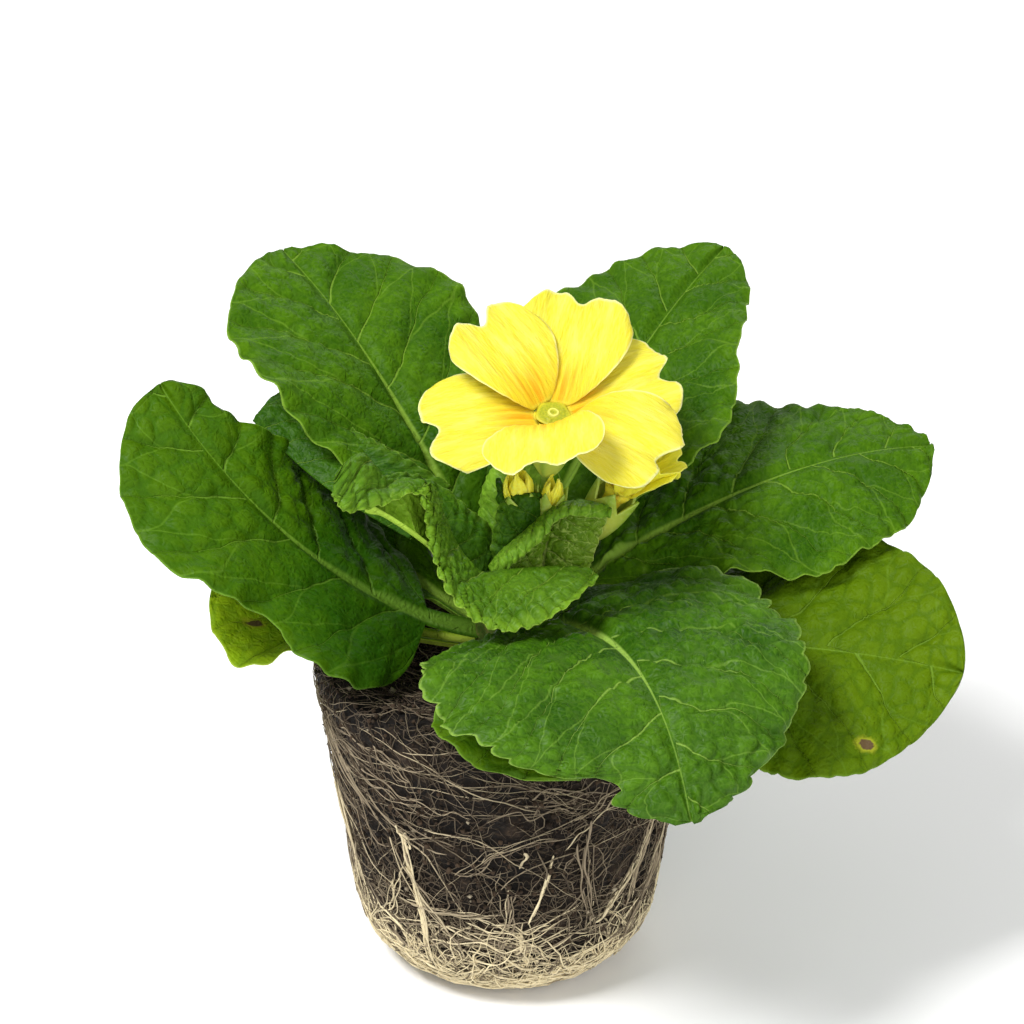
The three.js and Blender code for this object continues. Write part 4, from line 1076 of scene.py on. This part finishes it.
def ball_outline():
    """(radius, height) points from the middle of the underside, up the wall, to the middle of the top."""
    height, rim, top = BALL["height"], BALL["rim"], BALL["top"]
    heights = np.concatenate([BALL["edge"] * (1 - np.cos(np.linspace(0, np.pi / 2, 24))),
                              np.linspace(BALL["edge"] + 1, height - rim, 40)])
    side = np.stack([ball_wall(heights), heights], axis=1)
    corner = [(top - rim * 0.3, height - rim * 0.3), (top - rim * 1.6, height),
              (CROWN["radius"] * 3, height - BALL["dip"]), (POLE, height - BALL["dip"])]
    return np.vstack([[(POLE, 0)], side, corner])


OUTLINE = ball_outline()
OUTLINE_AT = distances(OUTLINE)
FOOT_FLAT = ball_wall(np.array(0.0))      # where the flat underside ends, as a distance along the outline


def outline_at(along):
    """The ball's radius and height at distances along its outline."""
    return np.stack([np.interp(along, OUTLINE_AT, column) for column in OUTLINE.T])


def along_at_height(z):
    """The distance along the outline at which the wall has a height."""
    last = int(np.argmax(OUTLINE[:, 1]))
    return np.interp(z, OUTLINE[:last, 1], OUTLINE_AT[:last])


def on_ball(angle, along, lift):
    """Points and outward directions on the ball, at distances along its outline."""
    radius, height = outline_at(along)
    step = 1.5
    d_radius, d_height = outline_at(along + step) - outline_at(along - step)
    size = np.maximum(np.hypot(d_radius, d_height), 1e-6)
    normal = polar(d_height / size, angle, -d_radius / size)
    return polar(radius, angle, height) + normal * np.asarray(lift)[..., None], normal


def above_floor(points, margin):
    points = points.copy()
    points[..., 2] = np.maximum(points[..., 2], margin)
    return points


def soil(name):
    """The ball's crumbly surface, smooth on its underside so that it stands."""
    rows, columns = BALL["grid"]
    along, angle = np.meshgrid(np.linspace(0.3, OUTLINE_AT[-1], rows), full_turn(columns), indexing="ij")
    base, _ = on_ball(angle, along, 0 * along)
    lift = 0.7 * noise(base, 11, 21) + 0.55 * noise(base, 4.2, 22) + 0.42 * noise(base, 2, 23)
    lift += 0.35 * np.abs(noise(base, 1.3, 24)) - 0.6
    calm = smooth(along, FOOT_FLAT, FOOT_FLAT + 10)
    points, _ = on_ball(angle, along, lift * (0.25 + 0.75 * calm))
    body = (*through_rings(above_floor(points, 0.0)), {"low": lift})
    place(make_mesh(name + "_soil", body, [soil_material()]), "peat", name)


def crumbs(name, count, seed):
    """Grains of peat, half sunk in the surface, with a few pale ones: squashed octahedra."""
    random = np.random.default_rng(seed)
    low = along_at_height(16)
    along = low + (OUTLINE_AT[-1] - CROWN["radius"] - low) * random.random(count) ** 0.8
    angle = 2 * np.pi * random.random(count)
    size = 0.35 + 0.75 * random.random(count) ** 2
    centre, _ = on_ball(angle, along, 0.15 * size - 0.1)
    corners = np.array([(1, 0, 0), (-1, 0, 0), (0, 1, 0), (0, -1, 0), (0, 0, 1), (0, 0, -1)], float)
    corner_faces = np.array([(0, 2, 4), (2, 1, 4), (1, 3, 4), (3, 0, 4), (2, 0, 5), (1, 2, 5), (3, 1, 5),
                             (0, 3, 5)])
    spin = unit(random.normal(size=(count, 4)))[:, None]
    body = corners[None] * (0.6 + 0.5 * random.random((count, 6, 1))) * size[:, None, None]
    turn = 2 * np.cross(spin[..., 1:], body)
    body = body + spin[..., :1] * turn + np.cross(spin[..., 1:], turn)
    points = (centre[:, None] + body).reshape(-1, 3)
    faces = (corner_faces[None] + 6 * np.arange(count)[:, None, None]).reshape(-1, 3)
    tone = np.repeat(random.random(count), 6)
    place(make_mesh(name, (points, faces, {"tone": tone}), [crumb_material()]), "peat")


def first_directions(random, count, level_share, spread):
    """Angles up from level: this share of the roots starts about level, and the rest falls."""
    level = random.random(count) < level_share
    way = np.where(random.random(count) < 0.5, 0, np.pi)
    steep = -np.pi / 2 + random.normal(0, spread * 1.3, count)
    return np.where(level, way + random.normal(0, spread, count), steep)


def wandering(random, count, steps, stride, zone, level_share, spread, turn, lift):
    """Root paths that wander over the ball, and the directions out of it. zone is (lowest, highest) height,
    up to the middle of the top where highest is above the wall."""
    top = OUTLINE_AT[-1] - CROWN["radius"] - 3
    low = along_at_height(zone[0])
    high = top if zone[1] > BALL["height"] else along_at_height(zone[1])
    along = between((low, high), random.random(count))
    angle = 2 * np.pi * random.random(count)
    direction = first_directions(random, count, level_share, spread)
    swerve = random.normal(0, turn, count)
    raised = between(lift, random.random(count))
    wobble = 2 * np.pi * random.random(count)
    paths, normals = [], []
    for k in range(steps):
        point, normal = on_ball(angle, along, raised * (0.55 + 0.45 * np.sin(0.9 * k + wobble)))
        paths.append(point)
        normals.append(normal)
        radius = np.maximum(np.hypot(point[:, 0], point[:, 1]), 6)
        direction = direction + swerve + random.normal(0, turn * 1.6, count)
        swerve = swerve * 0.8
        angle = angle + stride * np.cos(direction) / radius
        along = np.clip(along + stride * np.sin(direction), 2, top)
    return np.stack(paths, axis=1), np.stack(normals, axis=1)


def strands(paths, normals, radii, tones, sides):
    """The body of many roots; tones has a number for each, from brown to pale."""
    points, faces = tubes(paths, radii, sides, normals)
    return above_floor(points, ROOT_END), faces, {"tone": np.repeat(tones, paths.shape[1] * sides)}


def scattered(random, count, steps, stride, zone, level_share, spread, turn, lift, thick, tone):
    paths, normals = wandering(random, count, steps, stride, zone, level_share, spread, turn, lift)
    size = between(thick, random.random(count) ** 1.8)
    radii = size[:, None] * (1 - 0.6 * np.linspace(0, 1, steps))[None] / 2
    radii[:, 0] *= 0.3
    radii[:, -1] = ROOT_END
    return strands(paths, normals, radii, between(tone, random.random(count)).clip(0, 1), 3)


def bundle(random, angle, height, count, spread, thick, tone):
    """Loose fine roots that follow one line on the ball, each over a stretch of its own."""
    share = np.linspace(0, 1, len(angle))
    bodies = []
    for _ in range(count):
        at = random.uniform(0, 0.35) + share * random.uniform(0.5, 0.65)
        waves = random.uniform(1.5, 5, 2)
        turns = random.uniform(0, 2 * np.pi, 2)
        across = random.normal(0, spread) + 0.45 * spread * np.sin(waves[0] * 6 * at + turns[0])
        down = random.normal(0, spread) + 0.45 * spread * np.sin(waves[1] * 6 * at + turns[1])
        level = np.clip(np.interp(at, share, height) + down, 1, BALL["height"] - BALL["rim"])
        turned_by = np.interp(at, share, angle) + across / BALL["top"]
        lift = random.uniform(0.05, 0.7) + 0.25 * np.sin(7 * at + turns[0])
        point, normal = on_ball(turned_by, along_at_height(level), lift)
        radii = 0.5 * random.uniform(*thick) * (1 - 0.4 * share) * (1 + 0.2 * np.sin(23 * share + turns[1]))
        radii[[0, -1]] = ROOT_END
        bodies.append(strands(point[None], normal[None], radii[None], [random.uniform(*tone)], 4))
    return bodies


def repeatable(seed):
    """The number sequence that the frame's solids use for their thick roots."""
    state = seed

    def draw():
        nonlocal state
        state = (state * 1664525 + 1013904223) % 2 ** 32
        return state / 2 ** 32
    return draw


def thick_roots():
    """Bundles of fine roots on the ball's side, where the solid has its thick ones."""
    draw = repeatable(ROOTS["seed"])
    random = np.random.default_rng(31)

    def within(reach):
        return between((-reach, reach), draw())

    share = np.linspace(0, 1, ROOTS["steps"])
    bodies = []
    for i in range(ROOTS["falling"]):
        start = 2 * np.pi * (i + between((0, 0.6), draw())) / ROOTS["falling"]
        top = between(ROOTS["fall_from"], draw())
        drift = within(ROOTS["drift"])
        bow = within(ROOTS["bow"])
        thick = between((ROOTS["thin"], ROOTS["thick"]), draw())
        angle = start + drift * share + bow * np.sin(2 * np.pi * share)
        height = top + (ROOTS["fall_to"] - top) * share
        bodies += bundle(random, angle, height, 6, 1.2, (0.25, 0.6 * thick), (0.35, 0.75))
    for i in range(ROOTS["girdling"]):
        start = 2 * np.pi * (i + between((0, 0.5), draw())) / ROOTS["girdling"]
        span = between(ROOTS["girdle_span"], draw())
        height = ROOTS["girdle_height"] + within(ROOTS["girdle_spread"])
        fall = between(ROOTS["girdle_fall"], draw())
        thick = between((ROOTS["thin"], ROOTS["thick"]), draw())
        height = height + fall * share + ROOTS["ripple"] * np.sin(5 * share)
        bodies += bundle(random, start + span * share, height, 6, 2.4, (0.2, 0.45 * thick), (0.25, 0.62))
    return bodies


def front_roots():
    """The pale roots that stand out on the ball's front."""
    random = np.random.default_rng(32)
    bodies = []
    for points, count, spread, thick, tone in FRONT_ROOTS:
        x, height = even_points(np.array(points, float), 26).T
        angle = -np.arccos(np.clip(x / ball_wall(height), -0.99, 0.99))
        bodies += bundle(random, angle, height, count, spread, thick, tone)
    return bodies


def roots():
    random = np.random.default_rng(17)
    pieces = {"roots_thick": thick_roots() + front_roots()}
    for name, groups in SCATTERED_ROOTS.items():
        pieces[name] = [scattered(random, *group) for group in groups]
    for name, bodies in pieces.items():
        place(make_mesh(name, joined(bodies), [root_material()]), "roots")


# ---------- materials ----------
class Value:
    """A number, colour or point that a material works out at each spot of a surface, and its arithmetic."""

    def __init__(self, shader, socket):
        self.shader = shader
        self.socket = socket

    def math(self, operation, *others):
        return self.shader.node("Math", (self, *others), operation=operation)

    def __add__(self, other):
        return self.math("ADD", other)

    def __sub__(self, other):
        return self.math("SUBTRACT", other)

    def __mul__(self, other):
        return self.math("MULTIPLY", other)

    def __truediv__(self, other):
        return self.math("DIVIDE", other)

    def __abs__(self):
        return self.math("ABSOLUTE")

    def __round__(self):
        return self.math("ROUND")

    def ease(self, low, high, start=0.0, end=1.0):
        """An S-shaped change from start to end as the value goes from low to high."""
        return self.shader.node("MapRange", (self, low, high, start, end), interpolation_type="SMOOTHSTEP")

    def fade(self, low, high):
        """1 where the value is below low, falling to 0 above high."""
        return self.shader.node("Math", (1.0, self.ease(low, high)), operation="SUBTRACT")


class Shader:
    """A material. Its colour is laid down in coats: a ground of two colours, then each coat by its factor."""

    def __init__(self, name, specular=0.5):
        self.material = bpy.data.materials.new(name)
        self.material.use_nodes = True
        self.tree = self.material.node_tree
        self.surface = self.tree.nodes["Principled BSDF"]
        self.colour = None
        self.set("Specular IOR Level", specular)

    def feed(self, socket, value):
        """Links a socket to a value, or sets its number or colour."""
        if isinstance(value, Value):
            self.tree.links.new(value.socket, socket)
        else:
            socket.default_value = (*value, 1) if socket.type == "RGBA" else value

    def set(self, name, value):
        self.feed(self.surface.inputs[name], value)

    def node(self, kind, inputs=(), output=0, **settings):
        """An output of a new node, whose inputs are given in their order or by name."""
        made = self.tree.nodes.new("ShaderNode" + kind)
        for key, value in settings.items():
            setattr(made, key, value)
        named = inputs if isinstance(inputs, dict) else dict(enumerate(inputs))
        for key, value in named.items():
            self.feed(made.inputs[key], value)
        return Value(self, made.outputs[output])

    def blend(self, factor, first, second):
        return self.node("Mix", {0: factor, 6: first, 7: second}, 2, data_type="RGBA")

    def ground(self, factor, first, second):
        self.colour = self.blend(factor, first, second)

    def coat(self, factor, colour):
        self.colour = self.blend(factor, self.colour, colour)

    def field(self, name):
        return self.node("Attribute", output="Fac", attribute_name=name)

    def split(self, point):
        return [Value(self, socket) for socket in self.node("SeparateXYZ", (point,)).socket.node.outputs]

    def point(self, x, y):
        return self.node("CombineXYZ", (x, y, 0.0))

    def flat(self):
        """How far along and across the sheet each spot is, in millimetres."""
        along, across, _ = self.split(self.node("UVMap", uv_map=FLAT))
        return along * FLAT_UNIT, across * FLAT_UNIT

    def place(self):
        """The point in the piece's own frame, in millimetres."""
        at = self.node("TexCoord", output="Object")
        return self.node("VectorMath", {0: at, "Scale": 1 / MM}, operation="SCALE")

    def noise(self, at, size, detail=2.0):
        return self.node("TexNoise", {"Vector": at, "Scale": 1 / size, "Detail": detail}, "Fac")

    def cells(self, at, size, feature="DISTANCE_TO_EDGE"):
        return self.node("TexVoronoi", {"Vector": at, "Scale": 1 / size}, "Distance", feature=feature)

    def bump(self, height, depth, after=None):
        """A bump of a depth in millimetres, on top of an earlier one."""
        inputs = {"Distance": depth * MM, "Height": height}
        if after is not None:
            inputs["Normal"] = after
        return self.node("Bump", inputs)

    def glow_through(self, radius, depth):
        """Light that spreads inside thin petals: how far each colour goes, and the depth in millimetres."""
        self.set("Subsurface Weight", 0.5)
        self.set("Subsurface Radius", radius)
        self.set("Subsurface Scale", depth * MM)

    def finish(self, roughness, normal=None):
        self.set("Base Color", self.colour)
        self.set("Roughness", roughness)
        if normal is not None:
            self.set("Normal", normal)
        return self.material


# Leaf colours. aged is how far old shows, and net how plainly the net of small veins does. Some looks give
# the colour of painted shade, and two are lighter copies that paint light on leaves lying in shade.
LEAF_LOOKS = {
    "leaf": {
        "deep": (0.018, 0.068, 0.001), "fresh": (0.052, 0.134, 0.002), "vein": (0.21, 0.35, 0.04),
        "old": (0.072, 0.158, 0.002), "aged": 0.2, "painted_shade_colour": (0.005, 0.030, 0.0005), "shine": 0.05},
    "leaf_front": {
        "deep": (0.013, 0.057, 0.0015), "fresh": (0.047, 0.130, 0.003), "vein": (0.27, 0.43, 0.07),
        "old": (0.072, 0.162, 0.004), "aged": 0.3, "shine": 0.09},
    "leaf_left": {
        "deep": (0.018, 0.070, 0.0008), "fresh": (0.044, 0.115, 0.001), "vein": (0.16, 0.30, 0.03),
        "old": (0.052, 0.112, 0.001), "aged": 0.6, "painted_shade_colour": (0.003, 0.028, 0.0004), "shine": 0.05},
    "leaf_low": {
        "deep": (0.020, 0.074, 0.0012), "fresh": (0.046, 0.122, 0.002), "vein": (0.17, 0.31, 0.03),
        "old": (0.095, 0.17, 0.003), "aged": 0.5, "shine": 0.06},
    # Painted light: a lighter copy of a leaf's colours, for a leaf lying in another's shadow.
    "leaf_painted_light": {
        "deep": (0.120, 0.240, 0.003), "fresh": (0.210, 0.370, 0.006), "vein": (0.42, 0.54, 0.06),
        "old": (0.28, 0.41, 0.008), "aged": 0.7, "shine": 0.06},
    "leaf_yellow": {
        "deep": (0.040, 0.090, 0.001), "fresh": (0.058, 0.118, 0.0015), "vein": (0.14, 0.25, 0.025),
        "old": (0.098, 0.165, 0.002), "aged": 0.7, "shine": 0.04},
    "leaf_curled": {
        "deep": (0.030, 0.090, 0.002), "fresh": (0.072, 0.164, 0.006), "vein": (0.26, 0.40, 0.05),
        "old": (0.16, 0.30, 0.014), "aged": 1.0},
    # Painted light: a lighter copy for the curled leaf's hollow, which lies in its shade.
    "leaf_hollow": {
        "deep": (0.062, 0.170, 0.003), "fresh": (0.130, 0.280, 0.008), "vein": (0.30, 0.46, 0.05),
        "old": (0.14, 0.28, 0.015), "aged": 0.3, "net": 0.6, "shine": 0.05},
    "leaf_panel": {
        "deep": (0.066, 0.145, 0.004), "fresh": (0.125, 0.235, 0.011), "vein": (0.46, 0.57, 0.15),
        "old": (0.22, 0.33, 0.03), "aged": 0.2, "net": 0.8},
    "leaf_inner": {
        "deep": (0.014, 0.058, 0.0015), "fresh": (0.040, 0.114, 0.003), "vein": (0.16, 0.28, 0.03),
        "old": (0.09, 0.18, 0.008), "aged": 0.3, "shine": 0.08},
    "leaf_young": {
        "deep": (0.060, 0.165, 0.005), "fresh": (0.170, 0.330, 0.020), "vein": (0.40, 0.50, 0.12),
        "old": (0.22, 0.40, 0.03), "aged": 0.3},
}


def vein_distances(shader, share, spacing):
    """Distances to the side vein and to its two forks, as the relief has them."""
    phase = shader.field("phase")
    spread = share.ease(VEINS["fork_from"], VEINS["fork_to"], 0.0, 0.5)
    return [abs(count - round(count)) * spacing for count in (phase, phase + spread, phase - spread)]


def leaf_colour(shader, look, spacing, underside):
    """Lays down a leaf side's colour and painted shade; gives its smallest cells, side veins and grain."""
    size = spacing / VEINS["usual"]
    deep, fresh, vein, old, aged = (look[key] for key in ("deep", "fresh", "vein", "old", "aged"))
    soft = tuple(0.45 * a + 0.55 * b for a, b in zip(vein, fresh))
    s, t = shader.flat()
    share, along, dome, spot = (shader.field(name) for name in ("share", "along", "dome", "spot"))
    lateral, left_fork, right_fork = vein_distances(shader, share, spacing)
    place_at = shader.point(s, t)
    wobble = shader.noise(place_at, 2.4)
    fine = shader.cells(shader.point(s + wobble * 1.6, t + wobble * 1.6), 1.5)
    blotch = shader.noise(place_at, 18.0, 3.0)
    grain = shader.noise(place_at, 0.9, 3.0)

    # The veins' lines: the midrib, the side veins, their forks, the net between them and its smallest cells.
    rib_half = along.ease(0.0, 0.75, 1.5 * size + 0.2, 0.16)
    rib = (abs(t) / rib_half).fade(0.5, 1.3) * along.ease(0.25, 0.9, 0.95, 0.3)
    lateral_line = (lateral / share.ease(0.0, 0.8, 0.30 * size, 0.10 * size)).fade(0.3, 1.4)
    fork_line = left_fork.math("MINIMUM", right_fork).fade(0.05 * size, 0.36 * size)
    net_line = dome.fade(0.05, 0.3) * look.get("net", 0.6 if underside else 0.14)

    # The panels between the veins, older towards the tip and the margin, with painted shade in their creases.
    shader.ground((blotch * 0.65 + grain * 0.35).ease(0.36, 0.64), deep, fresh)
    ageing = (along + blotch * 0.5).ease(0.55, 1.35) * aged
    shader.coat(ageing.math("MAXIMUM", share.ease(0.75, 1.0) * (0.3 + 0.3 * aged)), old)
    # Painted shade: the deep colour darkens the creases between the swellings.
    shader.coat(dome.fade(0.05, 0.6) * 0.6, deep)
    if underside:
        shader.coat(0.75, tuple(0.8 * a + 0.2 * b for a, b in zip(fresh, vein)))
    shader.coat(net_line.math("MAXIMUM", fine.fade(0.0, 0.12) * 0.10), soft)
    shader.coat(fork_line * share.ease(0.3, 0.5, 0.0, 0.4), soft)
    shader.coat(lateral_line * share.ease(0.0, 1.0, 0.5, 0.15), vein)
    shader.coat(rib, vein)
    shader.coat(share.ease(0.98, 1.0, 0.0, 0.6), vein)
    # Painted shade: darker towards the base of the leaves that have the painted shade field.
    shader.coat(shader.field("painted_shade"), shader.blend(0.6, shader.colour, look.get("painted_shade_colour", deep)))

    # A dry spot: a yellow edge round a brown middle.
    ragged = spot + (wobble - 0.5) * 0.5
    inside = spot.ease(0.0, 0.1)
    shader.coat(inside * ragged.ease(0.0, 0.4, 0.0, 0.8), (0.30, 0.32, 0.02))
    shader.coat(inside * ragged.ease(0.35, 0.5), (0.10, 0.065, 0.03))
    return fine.ease(0.0, 0.4), lateral_line, grain


@cache
def leaf_materials(name, spacing):
    """The upper and the lower side's materials of a leaf, made once for each look and vein spacing."""
    look = LEAF_LOOKS[name]
    made = []
    for side, way in (("upper", 1.0), ("under", -1.0)):
        shader = Shader(f"{name}_{spacing}_{side}", look.get("shine", 0.10))
        fine_rise, lateral_line, grain = leaf_colour(shader, look, spacing, side == "under")
        normal = shader.bump(fine_rise * way, 0.13)
        normal = shader.bump(lateral_line * -way, 0.2, normal)
        normal = shader.bump(grain, 0.14, normal)
        made.append(shader.finish(grain.ease(0.3, 0.7, 0.36, 0.5), normal))
    return made


@cache
def petal_material():
    """Lemon with fine lines along it, a pale rim, gold towards the throat and orange rays out of it."""
    shader = Shader("petal", 0.12)
    s, t = shader.flat()
    rim = shader.field("rim")
    along = shader.field("along")

    def lines(stretch, size, detail):
        return shader.noise(shader.point(s * stretch, t), size, detail)

    streak = lines(0.16, 0.4, 4.0)
    broad = lines(0.25, 2.6, 2.0)
    line = lines(0.14, 0.45, 1.0)
    shader.ground(streak.ease(0.3, 0.72, 0.0, 0.85), (0.68, 0.555, 0.020), (0.74, 0.630, 0.075))
    shader.coat(line.ease(0.44, 0.3) * rim.ease(0.2, 0.8, 0.15, 0.45), (0.64, 0.50, 0.014))
    shader.coat(broad.ease(0.4, 0.8) * 0.5, (0.76, 0.67, 0.16))
    shader.coat(rim.ease(0.965, 1.0, 0.0, 0.75), (0.90, 0.87, 0.34))
    out = along * PETAL["length"]
    shader.coat(out.ease(1.0, 13.0, 1.0, 0.0) * 0.85, (0.72, 0.48, 0.012))
    # Painted light: the half flower's petals are brightened against the open flower's shadow.
    shader.coat(shader.field("young") * 0.8, (0.96, 0.88, 0.05))
    inside = (abs(t) / s.math("MULTIPLY_ADD", 0.42, 2.0)).fade(0.5, 1.2)
    rays = lines(0.035, 1.3, 2.0).ease(0.34, 0.7) * inside
    rays = rays * out.ease(3.5, 0.56 * PETAL["length"], 1.0, 0.0) * streak.ease(0.2, 0.6, 0.6, 1.0)
    shader.coat(rays * 0.95, (0.72, 0.29, 0.004))
    shader.coat(along.ease(0.02, 0.05, 1.0, 0.0) * 0.5, (0.75, 0.62, 0.05))
    shader.glow_through((1.0, 0.85, 0.25), 2.5)
    normal = shader.bump(broad, 0.6, shader.bump(line, 0.22, shader.bump(streak, 0.2)))
    return shader.finish(streak.ease(0.3, 0.7, 0.48, 0.62), normal)


@cache
def eye_material():
    shader = Shader("eye", 0.3)
    speck = shader.noise(shader.place(), 0.5, 3.0)
    shader.ground(speck.ease(0.35, 0.65), (0.26, 0.29, 0.006), (0.38, 0.38, 0.014))
    shader.coat(shader.field("out").ease(0.7, 1.0, 0.0, 0.6), (0.60, 0.52, 0.02))
    shader.coat(shader.field("ring") * 0.85, (0.78, 0.74, 0.16))
    return shader.finish(0.45, shader.bump(speck, 0.12))


@cache
def calyx_material():
    """A pale cup with green ribs and teeth; "rise" is below 0 on the stalks, which are green."""
    shader = Shader("calyx")
    speck = shader.noise(shader.place(), 0.7, 3.0)
    rise = shader.field("rise")
    pale, green, stem = (0.50, 0.58, 0.070), (0.20, 0.35, 0.020), (0.25, 0.40, 0.05)
    shader.ground(shader.field("rib") * 0.75, pale, green)
    shader.coat(rise.ease(0.55, 1.0, 0.0, 0.5), green)
    shader.coat(rise.ease(-0.6, -0.1, 1.0, 0.0), stem)
    shader.coat(speck.ease(0.45, 0.75, 0.0, 0.35), (0.50, 0.60, 0.22))
    return shader.finish(speck.ease(0.3, 0.7, 0.42, 0.6), shader.bump(speck, 0.14))


@cache
def bud_material():
    shader = Shader("bud", 0.3)
    speck = shader.noise(shader.place(), 0.6, 3.0)
    shader.ground(speck.ease(0.3, 0.7), (0.98, 0.84, 0.03), (1.0, 0.94, 0.09))
    # Painted shade where the petals overlap: their edges are a deeper gold.
    shader.coat(shader.field("lap").ease(0.8, 1.0, 0.0, 0.4), (0.90, 0.68, 0.015))
    shader.coat(shader.field("along").ease(0.1, 0.5, 0.7, 0.0), (0.50, 0.58, 0.05))
    shader.glow_through((1.0, 0.85, 0.2), 2)
    return shader.finish(0.5, shader.bump(speck, 0.1))


@cache
def crown_material():
    shader = Shader("crown", 0.15)
    place_at = shader.place()
    blotch = shader.noise(place_at, 3.0, 3.0)
    fibre = shader.noise(place_at, 0.6, 3.0)
    shader.ground(blotch.ease(0.35, 0.65), (0.030, 0.060, 0.006), (0.070, 0.110, 0.016))
    shader.coat(fibre.ease(0.55, 0.8, 0.0, 0.6), (0.20, 0.13, 0.05))
    shader.coat(shader.field("scale").ease(0.0, 0.12, 0.5, 0.0), (0.16, 0.11, 0.04))
    return shader.finish(0.6, shader.bump(fibre, 0.25))


@cache
def soil_material():
    """Dark crumbly peat with painted shade in its hollows, and pale matted roots near its foot."""
    shader = Shader("soil", 0.25)
    place_at = shader.place()
    height = shader.split(place_at)[2]
    crumb = shader.cells(place_at, 1.4, "F1")
    coarse = shader.noise(place_at, 5.0, 4.0)
    fine = shader.noise(place_at, 0.8, 3.0)
    strand = shader.noise(shader.point(height * 1.6, shader.noise(place_at, 6.0)), 1.0)
    pale = shader.blend(fine.ease(0.3, 0.7), (0.40, 0.31, 0.165), (0.66, 0.54, 0.31))
    pale = shader.blend(strand.ease(0.3, 0.7, 0.0, 0.4), pale, (0.18, 0.13, 0.07))
    shader.ground(coarse.ease(0.35, 0.7), (0.005, 0.0035, 0.0025), (0.026, 0.016, 0.009))
    shader.coat(fine.ease(0.5, 0.75, 0.0, 0.7), (0.072, 0.047, 0.027))
    # Painted shade: the hollows of the surface are darker.
    shader.coat(shader.field("low").ease(-1.0, 0.2, 0.7, 0.0), (0.004, 0.003, 0.0025))
    shader.coat((height + coarse * 12.0).ease(7.0, 19.0, 0.92, 0.0), pale)
    return shader.finish(0.92, shader.bump(fine, 0.5, shader.bump(crumb, 0.9)))


@cache
def crumb_material():
    shader = Shader("crumbs", 0.2)
    speck = shader.noise(shader.place(), 0.6, 3.0)
    tone = shader.field("tone")
    shader.ground(tone, (0.008, 0.006, 0.004), (0.055, 0.036, 0.022))
    shader.coat(tone.ease(0.97, 0.99), (0.34, 0.29, 0.20))
    shader.coat(speck.ease(0.5, 0.8, 0.0, 0.5), (0.09, 0.06, 0.04))
    return shader.finish(0.95, shader.bump(speck, 0.3))


@cache
def root_material():
    shader = Shader("roots", 0.3)
    speck = shader.noise(shader.place(), 1.2, 3.0)
    tone = shader.field("tone")
    shader.ground(tone.ease(0.0, 0.6), (0.045, 0.030, 0.018), (0.27, 0.215, 0.140))
    shader.coat(tone.ease(0.5, 1.0), (0.76, 0.65, 0.41))
    shader.coat(speck.ease(0.45, 0.8, 0.0, 0.4), (0.13, 0.095, 0.055))
    return shader.finish(0.7, shader.bump(speck, 0.15))


def floor_material():
    shader = Shader("floor", 0.2)
    shader.ground(shader.noise(shader.place(), 160.0), (0.93, 0.93, 0.925), (0.96, 0.96, 0.955))
    return shader.finish(0.8)


# ---------- floor, light and camera ----------
def floor():
    half = STUDIO["floor"] / 2
    corners = [(-half, -half, 0), (half, -half, 0), (half, half, 0), (-half, half, 0)]
    piece = make_mesh("floor", (corners, [(0, 1, 2, 3)], {}), [floor_material()])
    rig.stage(piece)


def stand_in_studio(name, data, at, target):
    """Puts a light or a camera at a point, turned towards its target."""
    holder = bpy.data.objects.new(name, data)
    bpy.context.scene.collection.objects.link(holder)
    holder.location = [c * MM for c in at]
    way = Vector([c * MM for c in target]) - holder.location
    holder.rotation_euler = way.to_track_quat("-Z", "Y").to_euler()
    return holder


def softbox(name, at, size, energy):
    light = bpy.data.lights.new(name, "AREA")
    light.shape = "RECTANGLE"
    light.size, light.size_y = (side * MM for side in size)
    light.energy = energy
    stand_in_studio(name, light, at, STUDIO["lit"])


def light_and_camera():
    scene = bpy.context.scene
    scene.view_settings.view_transform = "Standard"
    world = bpy.data.worlds.new("studio")
    scene.world = world
    world.use_nodes = True
    world.node_tree.nodes["Background"].inputs["Color"].default_value = (1, 1, 1, 1)
    world.node_tree.nodes["Background"].inputs["Strength"].default_value = STUDIO["ambient"]
    for name, (at, size, energy) in SOFTBOXES.items():
        softbox(name, at, size, energy)
    camera = bpy.data.cameras.new("camera")
    camera.sensor_width = VIEW["sensor"]
    camera.lens = VIEW["lens"]
    camera.clip_end = VIEW["sees"]
    pitch = rad(VIEW["pitch"])
    away = np.array([0, -math.cos(pitch), math.sin(pitch)]) * VIEW["distance"]
    scene.camera = stand_in_studio("camera", camera, VIEW["target"] + away, VIEW["target"])


# ---------- the plant ----------
light_and_camera()
floor()
soil("root_ball")
crumbs("peat_crumbs", count=4400, seed=5)
roots()
crown("crown_body")
for leaf_name, leaf_spec in LEAVES.items():
    leaf_piece(leaf_name, leaf_spec)
for leaf_name, leaf_spec in FOLDED_LEAVES.items():
    folded_leaf_piece(leaf_name, leaf_spec)
for order, (flower_name, flower) in enumerate((("flower_open", OPEN_FLOWER), ("flower_half", HALF_FLOWER))):
    foot_compass = STALK["first_foot"] - STALK["foot_step"] * order
    flower_stalk(flower_name + "_stalk", flower, stalk_foot(foot_compass))
    corolla(flower_name + "_petals", flower, seed=40 + 50 * order)
    eye(flower_name + "_eye", flower, seed=70 + order)
bud_greens("bud_stalks")
for order, bud in enumerate(BUDS):
    bud_petals(f"bud_{order + 1}", bud)

boxes = {"cad": [list(corner) for corner in cad_box], "visual": [list(corner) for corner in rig.bounds()]}
with open("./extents.json", "w") as out:
    json.dump(boxes, out)
